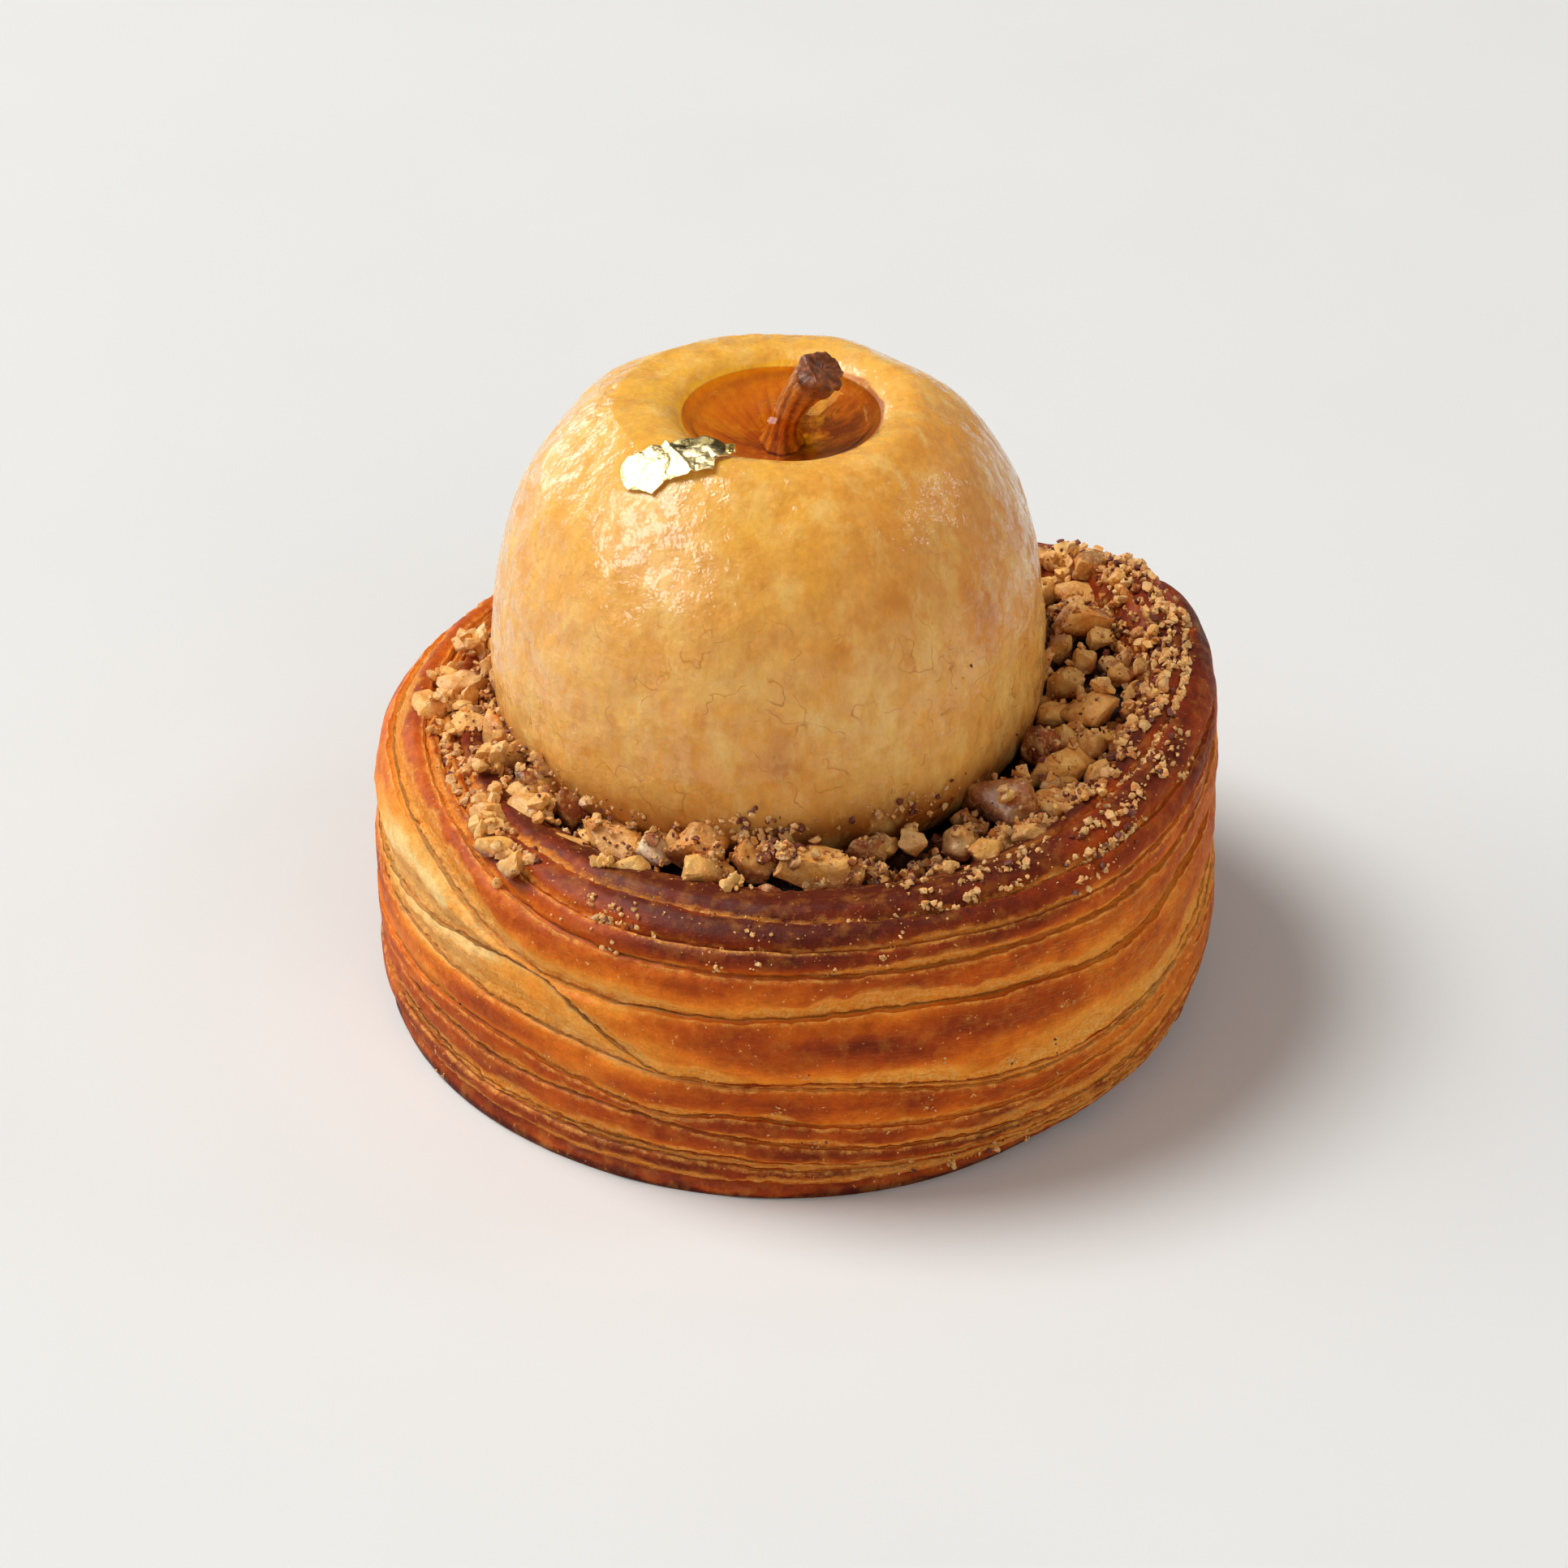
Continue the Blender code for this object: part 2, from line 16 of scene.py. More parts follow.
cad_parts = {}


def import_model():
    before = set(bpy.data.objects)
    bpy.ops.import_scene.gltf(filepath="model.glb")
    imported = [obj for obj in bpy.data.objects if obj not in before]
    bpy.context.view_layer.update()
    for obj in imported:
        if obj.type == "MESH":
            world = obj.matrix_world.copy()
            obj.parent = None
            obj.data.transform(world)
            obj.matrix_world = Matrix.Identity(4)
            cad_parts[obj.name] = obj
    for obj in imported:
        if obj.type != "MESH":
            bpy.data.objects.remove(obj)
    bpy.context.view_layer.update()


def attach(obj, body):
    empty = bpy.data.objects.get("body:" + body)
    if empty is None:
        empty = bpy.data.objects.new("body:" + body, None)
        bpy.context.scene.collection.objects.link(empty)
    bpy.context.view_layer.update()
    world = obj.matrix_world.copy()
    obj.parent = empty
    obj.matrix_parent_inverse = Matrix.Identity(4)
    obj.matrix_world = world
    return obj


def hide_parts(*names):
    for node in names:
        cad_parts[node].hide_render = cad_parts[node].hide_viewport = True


METRES = 0.001
RING_AXIS_X = -1.1
SEED = 12

# Camera and light
CAMERA_PLACE = (-0.346 + RING_AXIS_X, -441.958, 322.308)
CAMERA_TILT = 56.0
LENS = 100.0
FLOOR_COLOUR = (0.78, 0.785, 0.77, 1.0)
WORLD_COLOUR = (1.0, 0.955, 0.93, 1.0)
WORLD_STRENGTH = 0.19
# Soft lights: azimuth, elevation, distance and size in metres, how bright they make a surface that
# faces them, and whether they light surfaces and show as reflections
LIGHTS = [
    ("key", 163, 60, 3.0, 1.5, 0.82, True, True), ("side", 170, 32, 2.6, 1.3, 0.20, True, True),
    ("fill", 296, 26, 2.4, 2.0, 0.24, True, False), ("rear", 12, 30, 2.2, 0.6, 0.08, True, True),
    ("panel", 131, 7, 2.6, 1.3, 0.27, False, True), ("window", 203, 38, 2.6, 1.8, 1.10, False, True),
]
LIGHT_COLOUR = (1.0, 0.992, 0.98)
AIM_HEIGHT = 0.03
FLOOR_REACH = 3.0

# Pastry case, the same curves as the solid's
CASE_COLUMNS = 1200
# Rows of a band: near its crack and its lip at these distances, and even steps between
CRACK_ROWS, LIP_ROWS = [0.0, 0.10, 0.22, 0.36, 0.55, 0.80], [0.45, 0.25, 0.10, 0.0]
ROW_HEIGHT = 0.46
WALL_RADIUS = 49.75
RIGHT_SWELL, RIGHT_BULGE, LEFT_LEAN = 1.2, 1.1, 2.2
SHOULDER_RADIUS = 5.0
RIM_FALL = 0.12
CONTACT_RADIUS = [(0, 47.6), (90, 48.6), (180, 49.4), (225, 49.7), (285, 49.7), (315, 47.8)]
RECESS_FLOOR, RECESS_FLOOR_RADIUS = 21.8, 30.0
# How far inwards and down from its lip the recess's wall starts
RECESS_LIP = (1.2, 2.5)
# The case's pieces, which meet in cracks: name, last band and the points that close its two ends
CASE_PIECES = [
    ("crust_foot", 4, (0, 0, 0), None), ("crust_wall", 7, None, None),
    ("crust_rim", 12, None, (0, 0, RECESS_FLOOR)),
]
BAND_BULGE, CRACK_DEPTH, FULL_RELIEF_WIDTH = 0.66, 0.36, 2.4
RIM_HEIGHT = [
    (0, 43.5), (20, 43.0), (35, 40.0), (50, 36.6), (90, 35.0), (140, 34.0), (180, 35.5), (225, 36.5),
    (270, 37.0), (300, 37.5), (325, 39.5), (345, 42.5),
]
WALL_EDGES = [
    [(0, 2.4), (60, 1.8), (120, 2.4), (180, 2.6), (215, 2.8), (245, 2.2), (275, 1.8), (305, 2.6),
     (335, 2.8)],
    [(0, 5.2), (60, 5.0), (120, 6.0), (195, 6.0), (225, 5.5), (250, 4.9), (270, 4.0), (290, 3.4),
     (330, 3.6)],
    [(0, 6.9), (60, 6.6), (120, 7.5), (180, 7.8), (205, 7.0), (225, 6.1), (255, 5.5), (280, 4.4),
     (325, 4.4)],
    [(0, 10.2), (60, 9.8), (120, 11.0), (180, 11.0), (230, 10.2), (246, 10.1), (269, 7.6), (295, 5.8),
     (325, 6.4)],
    [(0, 14.4), (60, 13.8), (120, 14.5), (180, 14.2), (210, 13.7), (223, 14.2), (241, 12.5),
     (254, 10.7), (262, 11.5), (277, 10.1), (305, 9.3), (325, 11.0), (340, 13.4)],
    [(0, 17.0), (60, 18.5), (120, 19.6), (180, 20.0), (225, 19.2), (241, 18.1), (254, 16.2),
     (277, 15.7), (301, 12.8), (317, 12.7), (335, 14.8)],
    [(0, 20.5), (60, 22.0), (120, 23.2), (180, 23.4), (207, 23.2), (222, 24.8), (236, 24.8),
     (244, 20.6), (252, 16.9), (277, 16.3), (301, 13.4), (317, 13.3), (335, 15.6)],
    [(0, 27.6), (60, 27.4), (120, 31.0), (170, 32.6), (203, 32.8), (220, 29.5), (231, 26.3),
     (240, 25.5), (262, 25.4), (281, 26.4), (303, 25.2), (322, 23.8), (338, 26.4)],
]
RIM_GROOVES = [
    [(0, -8.5), (20, -8.0), (45, -4.5), (90, 1.0), (140, 3.5), (180, 3.9), (200, 2.6), (215, 0.6),
     (226, -1.8), (237, -4.0), (270, -5.4), (300, -6.0), (320, -8.2), (340, -8.9)],
    [(0, -6.4), (20, -5.9), (45, -2.6), (90, 3.0), (140, 5.4), (180, 5.8), (215, 3.0), (240, -1.0),
     (270, -1.8), (300, -2.6), (320, -5.0), (340, -6.3)],
    [(0, -3.8), (20, -3.4), (45, 0.2), (90, 5.2), (140, 7.3), (180, 7.5), (225, 4.7), (270, 2.5),
     (300, 1.2), (315, 0.0), (340, -2.4)],
    [(0, 2.2), (12, 0.8), (25, -0.8), (45, 2.2), (90, 8.0), (140, 10.6), (180, 11.0), (225, 9.5),
     (270, 8.6), (300, 7.2), (340, 3.6)],
    [(0, 7.4), (25, 7.2), (45, 7.8), (90, 9.8), (140, 11.8), (180, 12.2), (225, 10.6), (270, 9.5),
     (300, 8.7), (340, 7.4)],
]
BAND_STRENGTH = [0.5, 1.0, 0.3, 1.0, 1.1, 1.2, 0.8, 1.9, 1.7, 0.9, 1.1, 1.9, 1.7]
# How brown each band is, from the foot in, and the places where the whole crust is paler or darker:
# azimuth, height, half width in degrees, half height and change
BAND_BAKE = [0.74, 0.68, 0.66, 0.58, 0.51, 0.50, 0.42, 0.46, 0.48, 0.56, 0.70, 0.88, 0.93]
BAKE_PATCHES = [
    (205, 28, 20, 6, -0.52), (214, 23.5, 16, 5, -0.50), (190, 36.5, 34, 2.4, 0.18),
    (240, 29, 20, 6, -0.14), (315, 28, 12, 6, -0.18), (300, 5, 22, 4, 0.14), (270, 1, 34, 2.5, 0.14),
    (274, 21, 17, 3.6, 0.24), (245, 18, 10, 6, -0.16), (310, 15, 16, 5, -0.16), (272, 36, 38, 4, 0.24),
    (343, 19, 18, 10, -0.22), (326, 9, 16, 5, -0.16), (262, 8, 16, 4, 0.10), (196, 38, 26, 3, -0.06),
    (182, 12, 22, 9, 0.06), (250, 27, 16, 3, -0.12), (140, 25, 25, 6, -0.10), (90, 12, 35, 6, 0.05),
    (24, 43, 24, 5, -0.20),
]
# How wide the torn, pale foot of each band is in millimetres
BAND_TEAR = [0.2, 0.9, 0.7, 1.2, 1.4, 1.5, 1.2, 2.8, 2.2, 0.8, 0.6, 0.35, 0.2]
# Where bands are torn wider: azimuth, half width in degrees, band and millimetres more
WIDE_TEARS = [
    (212, 24, 6, 4.5), (200, 28, 7, 1.8), (205, 24, 8, 2.2), (203, 26, 9, 0.5), (205, 28, 10, 0.6),
    (208, 28, 11, 0.6), (232, 9, 7, 1.4), (282, 22, 7, 0.8), (325, 24, 8, 0.8),
]
# The crust's colours from raw to dark
CRUST = [
    (0.0, (1.0, 0.66, 0.25)), (0.07, (0.98, 0.50, 0.12)), (0.16, (0.97, 0.40, 0.06)),
    (0.28, (0.92, 0.29, 0.026)), (0.42, (0.78, 0.175, 0.010)), (0.58, (0.54, 0.086, 0.005)),
    (0.74, (0.34, 0.044, 0.005)), (0.88, (0.20, 0.024, 0.005)), (1.0, (0.10, 0.013, 0.005)),
]

# Apple, the same curves as the solid's
APPLE_COLUMNS = 300
APPLE_X, APPLE_RADIUS, APPLE_EQUATOR, APPLE_RISE, APPLE_DROP = -2.0, 33.0, 42.1, 38.3, 20.0
TOP_SQUARENESS, PEEL_FACET, CREST_RADIUS, HOLLOW_X = 2.6, 0.22, 18.0, -0.7
HOLLOW_PROFILE = [
    (16.0, 77.6), (14.0, 77.4), (12.6, 76.8), (11.7, 75.9), (9.8, 74.4), (7.0, 72.8), (4.2, 71.4),
    (0.0, 70.9),
]
# The hollow lies above this height, and skin is left on it inside this radius
HOLLOW_FROM, SKIN_RADIUS = 70, 12.1
SYRUP_LEVEL, SYRUP_GAP = 75.6, 0.35
FLESH = [
    (0.0, (0.42, 0.13, 0.015)), (0.3, (0.74, 0.28, 0.035)), (0.6, (0.94, 0.44, 0.08)),
    (1.0, (0.98, 0.60, 0.17)),
]
# Brown marks on the flesh: azimuth, height, half width in degrees, half height, strength
BRUISES = [
    (272, 49, 5, 3.0, 0.45), (251, 47, 4, 2.0, 0.3), (246, 57, 3, 2.5, 0.22), (300, 66, 8, 2.0, 0.35),
    (240, 40, 7, 2, 0.25), (325, 62, 7, 5, 0.25), (285, 62, 3, 2, 0.2),
]

# Stalk, from its foot to its cut end
STALK_PATH = [(-0.6, 1.0, 72.0), (-0.3, -0.6, 77.6), (4.3, -4.7, 84.3)]
STALK_RADII = [
    (0.0, 2.6), (0.12, 1.85), (0.3, 1.6), (0.45, 1.7), (0.65, 1.95), (0.85, 2.3), (0.95, 2.5),
    (1.0, 2.3),
]

# Gold leaf: its front and back edges, seen from above
LEAF_FRONT = [
    (-18.8, -14.4), (-18.0, -16.2), (-15.1, -17.7), (-13.4, -16.7), (-12.1, -17.0), (-8.4, -16.8),
    (-7.8, -14.8), (-5.8, -13.3),
]
LEAF_BACK = [
    (-18.8, -13.0), (-16.2, -12.4), (-12.9, -11.3), (-10.9, -10.9), (-7.6, -12.1), (-5.8, -12.9),
]
LEAF_CELLS, LEAF_LIFT, LEAF_THICKNESS = (130, 56), 0.35, 0.12

# Nuts
HEAP_BELOW_RIM = 2.8
# The bed's hole under the apple, its gap to its neighbours, and how far it goes down at apple and case
BED_HOLE, BED_GAP, BED_SKIRTS = 16.8, 0.4, (6, 5)
HEAP_AT_APPLE = [
    (0, 39.0), (45, 38.0), (90, 36.0), (140, 36.0), (180, 37.4), (215, 37.2), (250, 36.0), (285, 36.0),
    (320, 37.6),
]
# The largest: azimuth, radius, length, width, height, which way the length points and kind
LARGE_NUTS = [
    (3, 35.9, 3.4, 3.2, 3.0, 0, "pale"), (9, 33.3, 3.4, 3.0, 3.8, 90, "amber"),
    (10, 38.4, 3.4, 3.2, 3.0, 40, "pale"), (16, 38.1, 6.4, 4.4, 3.6, 20, "toasted"),
    (30, 41.5, 5.4, 3.4, 2.6, 0, "pale"), (31, 44.3, 4.6, 4.0, 3.8, 0, "toasted"),
    (38, 44.2, 4.2, 4.0, 3.4, 30, "pale"), (34, 38.2, 4.8, 4.2, 4.0, 60, "pale"),
    (52, 37.2, 5.2, 4.4, 4.2, 30, "toasted"), (158, 41.8, 4.4, 3.4, 3.0, 10, "pale"),
    (168, 36.9, 2.4, 2.2, 5.0, 0, "pale"), (174, 39.8, 6.2, 4.6, 3.6, 0, "pale"),
    (181, 43.1, 4.4, 3.8, 3.2, 20, "golden"), (187, 38.6, 4.4, 3.8, 3.4, 30, "pale"),
    (194, 35.4, 5.0, 4.2, 7.4, 100, "golden"), (201, 36.4, 4.0, 3.4, 4.6, 40, "pale"),
    (214, 35.4, 6.8, 4.2, 3.8, 35, "pale"), (217, 43.5, 3.6, 3.2, 3.4, 50, "pale"),
    (218, 38.6, 5.6, 4.8, 3.8, -30, "pale"), (223, 46.0, 4.2, 3.4, 2.6, 0, "golden"),
    (224, 35.0, 2.2, 2.0, 5.8, 0, "skin"), (229, 48.0, 3.0, 2.6, 3.0, 60, "pale"),
    (230, 39.4, 4.8, 2.6, 1.8, -25, "pale"), (236, 35.1, 6.6, 5.0, 4.4, -10, "amber"),
    (243, 40.0, 4.6, 3.2, 2.8, 10, "pale"), (244, 35.1, 4.8, 3.8, 3.2, -20, "white"),
    (248, 34.1, 2.6, 2.6, 5.4, 0, "pale"), (249, 41.2, 5.0, 2.4, 1.8, -25, "pale"),
    (253, 33.8, 5.6, 4.0, 6.4, 0, "toasted"), (255, 38.5, 5.4, 4.4, 4.2, 30, "pale"),
    (258, 41.1, 4.2, 2.8, 2.0, -15, "pale"), (264, 34.2, 4.6, 4.2, 5.4, 20, "toasted"),
    (267, 41.0, 2.6, 2.4, 2.2, 0, "skin"), (275, 36.2, 7.8, 5.4, 4.8, -10, "golden"),
    (285, 33.6, 3.2, 3.0, 4.6, 0, "skin"), (288, 33.2, 3.2, 3.0, 3.6, 0, "amber"),
    (295, 34.0, 2.8, 2.8, 3.4, 90, "pale"), (303, 36.0, 3.8, 3.4, 3.6, 0, "pale"),
    (304, 41.0, 4.2, 3.4, 3.0, 20, "golden"), (312, 41.8, 3.8, 3.4, 3.2, 0, "pale"),
    (317, 35.4, 9.6, 6.2, 5.8, -40, "husk"), (322, 39.9, 5.2, 4.2, 3.4, 0, "pale"),
    (331, 37.2, 7.4, 4.4, 4.0, 15, "golden"), (332, 41.2, 3.4, 3.2, 3.0, 30, "pale"),
    (333, 33.6, 4.8, 4.4, 5.4, 60, "skin"), (338, 35.2, 3.8, 3.6, 3.4, 0, "pale"),
    (338, 38.9, 3.8, 3.4, 3.4, 60, "pale"), (345, 33.0, 3.4, 3.2, 3.2, 0, "pale"),
    (346, 36.9, 6.8, 5.0, 4.4, 10, "pale"), (356, 33.6, 4.2, 4.0, 3.6, 0, "pale"),
]
# Clumps of pale bits: azimuth, radius, spread in millimetres, number and largest size
CLUMPS = [
    (160, 40.0, 2.0, 16, 2.0), (172, 42.0, 1.6, 12, 1.8), (181, 40.0, 2.0, 16, 2.2),
    (190, 41.5, 1.6, 10, 1.6), (203, 38.4, 2.0, 16, 2.2), (214, 41.0, 1.6, 10, 1.8),
    (219, 44.6, 1.6, 14, 2.0), (226, 46.6, 1.4, 12, 1.8), (222, 37.6, 1.8, 14, 2.0),
    (240, 42.2, 1.4, 8, 1.4), (262, 40.6, 1.8, 12, 1.5), (297, 40.4, 2.2, 18, 1.8),
    (309, 38.6, 2.4, 20, 2.0), (322, 42.6, 2.2, 16, 1.8), (340, 41.6, 2.4, 18, 2.0),
    (350, 38.0, 2.2, 16, 2.2), (2, 41.5, 2.2, 16, 2.0), (20, 42.5, 2.4, 16, 2.2),
    (35, 42.0, 2.4, 16, 2.2),
]
SMALL_NUTS, BITS, HEAP_CRUMBS = 40, 560, 4300
# A chip's flats are spread over it by this turn, and its edges are browned to this width
GOLDEN_TURN, EDGE_WIDTH = 137.5, 0.14
# Bits are dropped from a height. Loose ones that land too low, and clumps that land too high, go
DROP_HEIGHT, LOWEST, HIGHEST = 52, 25, 48
# How close to a kernel counts as on it
TOUCH = 0.02
# Where nuts spill over the rim: azimuth, half width and how far in millimetres
SPILLS = [(192, 30, 6.0), (345, 40, 5.5), (40, 30, 3.5), (110, 40, 2.5)]
# What a kernel's flesh, its edges and its skin look like
KERNELS = {
    "pale": ((1.0, 0.56, 0.14), (0.90, 0.30, 0.03), (0.30, 0.07, 0.015)),
    "white": ((0.94, 0.78, 0.50), (0.95, 0.56, 0.18), (0.30, 0.08, 0.02)),
    "golden": ((1.0, 0.50, 0.09), (0.84, 0.24, 0.018), (0.40, 0.09, 0.01)),
    "toasted": ((0.94, 0.40, 0.06), (0.58, 0.14, 0.012), (0.20, 0.035, 0.008)),
    "amber": ((0.82, 0.37, 0.06), (0.54, 0.16, 0.018), (0.20, 0.04, 0.008)),
    "skin": ((0.46, 0.10, 0.014), (0.22, 0.035, 0.007), (0.10, 0.014, 0.006)),
    "husk": ((0.52, 0.15, 0.02), (0.28, 0.06, 0.008), (0.92, 0.44, 0.09)),
    "crumb": ((1.0, 0.62, 0.23), (0.92, 0.32, 0.05), (0.26, 0.07, 0.02)),
    "brown": ((0.76, 0.27, 0.04), (0.38, 0.08, 0.01), (0.10, 0.02, 0.008)),
    "dark": ((0.24, 0.04, 0.010), (0.12, 0.018, 0.005), (0.10, 0.02, 0.008)),
}

# Crumbs on the crust: azimuth, distance inwards from the wall's top corner, their half widths
# (degrees and mm), number and largest size
CRUST_CRUMBS = [
    (176, 9.0, 12, 3.0, 260, 1.7), (197, 7.0, 9, 1.6, 150, 1.6), (214, 6.0, 7, 2.0, 170, 1.8),
    (228, 3.5, 8, 1.6, 90, 1.4), (245, 0.5, 12, 3.0, 90, 1.1), (272, 0.0, 18, 5.0, 90, 0.8),
    (300, 5.0, 12, 3.0, 200, 1.2), (318, 0.5, 9, 2.5, 200, 1.2), (335, 4.0, 14, 3.0, 420, 1.5),
    (352, 5.0, 12, 2.4, 300, 1.6), (5, 4.5, 14, 2.0, 240, 1.5), (30, 3.0, 14, 3.0, 240, 1.7),
    (60, 6.5, 20, 3.0, 140, 1.5), (110, 8.0, 25, 3.0, 140, 1.4), (150, 9.0, 16, 3.0, 140, 1.5),
    (270, -20.0, 60, 10.0, 120, 0.5), (296, -34.5, 10, 0.8, 45, 0.9), (90, -18.0, 70, 10.0, 80, 0.5),
]
# Crumbs on the apple: azimuth, height, their half widths, number and largest size
APPLE_CRUMBS = [
    (268, 40.5, 10, 2.0, 90, 1.4), (232, 39, 20, 1.5, 40, 1.0), (300, 40.5, 16, 2.4, 60, 1.2),
    (200, 39, 16, 2.0, 60, 1.1), (60, 41, 60, 2.5, 80, 1.1), (318, 56, 12, 6.0, 5, 0.45),
]


# Numbers and noise

def blobs(points, size, seed=0):
    """Smooth noise from -1 to 1 at points. size may be a blob's size along each axis."""
    place = np.asarray(points, float) / size + 1000.0 + 17.3 * seed
    cell = np.floor(place).astype(np.int64)
    part = place - cell
    part = part * part * (3 - 2 * part)
    total = np.zeros(len(place))
    for corner in itertools.product((0, 1), repeat=3):
        weight = np.prod(np.where(corner, part, 1 - part), axis=1)
        total += weight * scramble(*(cell + corner).T)
    return total


def scramble(x, y, z):
    """The same number from -1 to 1 for the same whole numbers."""
    code = x * 73856093 ^ y * 19349663 ^ z * 83492791
    code = (code ^ (code >> 13)) * 1274126177
    return ((code ^ (code >> 16)) & 0xFFFF) / 32767.5 - 1


def rough(points, size, seed):
    """Three octaves of noise."""
    total = 0
    for octave in range(3):
        total = total + blobs(points, np.asarray(size) / 2**octave, seed + octave) * 0.55**octave
    return total / 1.6


def streaks(azimuth, across, cells, size, seed=0):
    """Noise on the ring that closes on itself: cells blobs around, each about size across."""
    along = np.mod(azimuth, 360) / 360 * cells
    across = across / size + 500.0
    column, row = np.floor(along).astype(np.int64), np.floor(across).astype(np.int64)
    u, v = along - column, across - row
    u, v = u * u * (3 - 2 * u), v * v * (3 - 2 * v)
    level = np.full_like(row, seed + 7)
    left, right = column % cells, (column + 1) % cells
    low = scramble(left, row, level) * (1 - u) + scramble(right, row, level) * u
    high = scramble(left, row + 1, level) * (1 - u) + scramble(right, row + 1, level) * u
    return low * (1 - v) + high * v


def streak_sum(azimuth, across, *layers):
    """A sum of streaks: how strong each is and then what streaks() takes."""
    return sum(strength * streaks(azimuth, across, *layer) for strength, *layer in layers)


def wander(azimuth, cells, seed):
    """Noise that only differs round the ring."""
    return streaks(azimuth, 0 * azimuth, cells, 1, seed)


def unit(value):
    """The value, held between 0 and 1."""
    return np.clip(value, 0, 1)


def smooth(low, high, value):
    """From 0 at low to 1 at high, with soft ends."""
    t = unit((value - low) / (high - low))
    return t * t * (3 - 2 * t)


def ramp(stops, value):
    """Colours of a ramp of (place, colour) stops."""
    places = [place for place, _ in stops]
    colours = np.array([colour for _, colour in stops])
    return np.stack([np.interp(value, places, colours[:, channel]) for channel in range(3)], axis=-1)


def mix(first, second, share):
    share = np.asarray(share)[..., None]
    return np.asarray(first) * (1 - share) + np.asarray(second) * share


def hill(offset, wide):
    """A bell that is 1 where the offset is 0."""
    return np.exp(-((offset / wide) ** 2))


def turn_gap(azimuth, middle):
    """Degrees from an azimuth to another the short way round."""
    return np.mod(azimuth - middle + 180, 360) - 180


def around(knots, azimuth):
    """The smooth closed curve through (azimuth, value) knots in rising order, read at an azimuth."""
    places, values = np.array(knots, float).T
    places = np.concatenate([places - 360, places, places + 360])
    values = np.tile(values, 3)
    slopes = np.gradient(values, places)
    azimuth = np.mod(azimuth, 360)
    i = np.searchsorted(places, azimuth, side="right") - 1
    span = places[i + 1] - places[i]
    t = (azimuth - places[i]) / span
    rise = values[i + 1] - values[i]
    start, end = slopes[i] * span, slopes[i + 1] * span
    return values[i] + t * (start + t * (3 * rise - 2 * start - end + t * (start + end - 2 * rise)))


# Meshes

def circle(azimuth, radius, height, centre_x=0.0):
    angle = np.radians(azimuth)
    x, y = centre_x + radius * np.cos(angle), radius * np.sin(angle)
    return np.stack([x, y, height + 0 * angle], axis=-1)


def sheet_faces(rows, columns, closed=True):
    """Quads of a grid of points, row after row, joined at its two sides if closed."""
    steps = np.arange(columns if closed else columns - 1)
    row, column = np.meshgrid(np.arange(rows - 1), steps, indexing="ij")
    a = (row * columns + column).ravel()
    b = (row * columns + (column + 1) % columns).ravel()
    return np.stack([a, b, b + columns, a + columns], axis=1)


def closed_sheet(rows, first=None, last=None):
    """Points and faces of rings in a row. A point may close the first ring, and one the last."""
    columns = len(rows[0])
    points, faces = np.concatenate(rows), sheet_faces(len(rows), columns).tolist()
    ring = np.arange(columns)
    for middle, start, order in ((first, 0, (1, 0)), (last, len(points) - columns, (0, 1))):
        if middle is not None:
            a, b = (start + (ring + shift) % columns for shift in order)
            faces += [(len(points), *pair) for pair in zip(a.tolist(), b.tolist())]
            points = np.concatenate([points, [middle]])
    return points, faces


def attribute(mesh, name, values):
    """Up to four numbers at each point, for the shader."""
    rgba = np.ones((len(values), 4))
    rgba[:, :values.shape[1]] = values
    made = mesh.attributes.new(name, "FLOAT_COLOR", "POINT")
    made.data.foreach_set("color", rgba.astype(np.float32).ravel())


def piece(name, points, faces, material, colour=None, smooth_angle=180.0, nodes=()):
    """A piece of the tart from points in millimetres. colour is its tint at each point, which a
    fourth number and then four marks may follow."""
    mesh = bpy.data.meshes.new(name)
    points = (np.asarray(points, float) + (RING_AXIS_X, 0, 0)) * METRES
    mesh.from_pydata(points.tolist(), [], [list(face) for face in faces])
    mesh.shade_smooth()
    if smooth_angle < 180:
        mesh.set_sharp_from_angle(angle=math.radians(smooth_angle))
    if colour is not None:
        attribute(mesh, "tint", unit(colour[:, :4]))
        if colour.shape[1] > 4:
            attribute(mesh, "marks", colour[:, 4:])
    mesh.materials.append(material)
    made = bpy.data.objects.new(name, mesh)
    bpy.context.scene.collection.objects.link(made)
    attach(made, "root")
    if nodes:
        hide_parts(*nodes)


def tree_of(*meshes):
    """A search tree over (points, faces) meshes, in millimetres."""
    points, faces, start = [], [], 0
    for own_points, own_faces in meshes:
        points.append(own_points)
        faces += [[int(corner) + start for corner in face] for face in own_faces]
        start += len(own_points)
    return BVHTree.FromPolygons(np.concatenate(points).tolist(), faces)


def dropped(tree, x, y, height):
    """The first place of a search tree under a point, or None."""
    return tree.ray_cast(Vector((x, y, height)), Vector((0, 0, -1)))[0]


# Materials

def plug(socket, value):
    """Sets a socket to a number or a colour, or links it to another node's output."""
    if isinstance(value, bpy.types.NodeSocket):
        socket.id_data.links.new(value, socket)
    else:
        socket.default_value = value


def wire(shader, **sockets):
    """Plugs a shader's sockets: underscores in the names stand for spaces."""
    for label, value in sockets.items():
        plug(shader.inputs[label.replace("_", " ")], value)


def add(tree, kind, inputs=(), **settings):
    made = tree.nodes.new(kind)
    for name, value in settings.items():
        setattr(made, name, value)
    for name, value in dict(inputs).items():
        plug(made.inputs[name], value)
    return made


def base_material(name, **sockets):
    """A material, its node tree and its Principled shader with those sockets set."""
    made = bpy.data.materials.new(name)
    made.use_nodes = True
    shader = made.node_tree.nodes["Principled BSDF"]
    wire(shader, **sockets)
    return made, made.node_tree, shader


def here(tree):
    return add(tree, "ShaderNodeTexCoord").outputs["Object"]


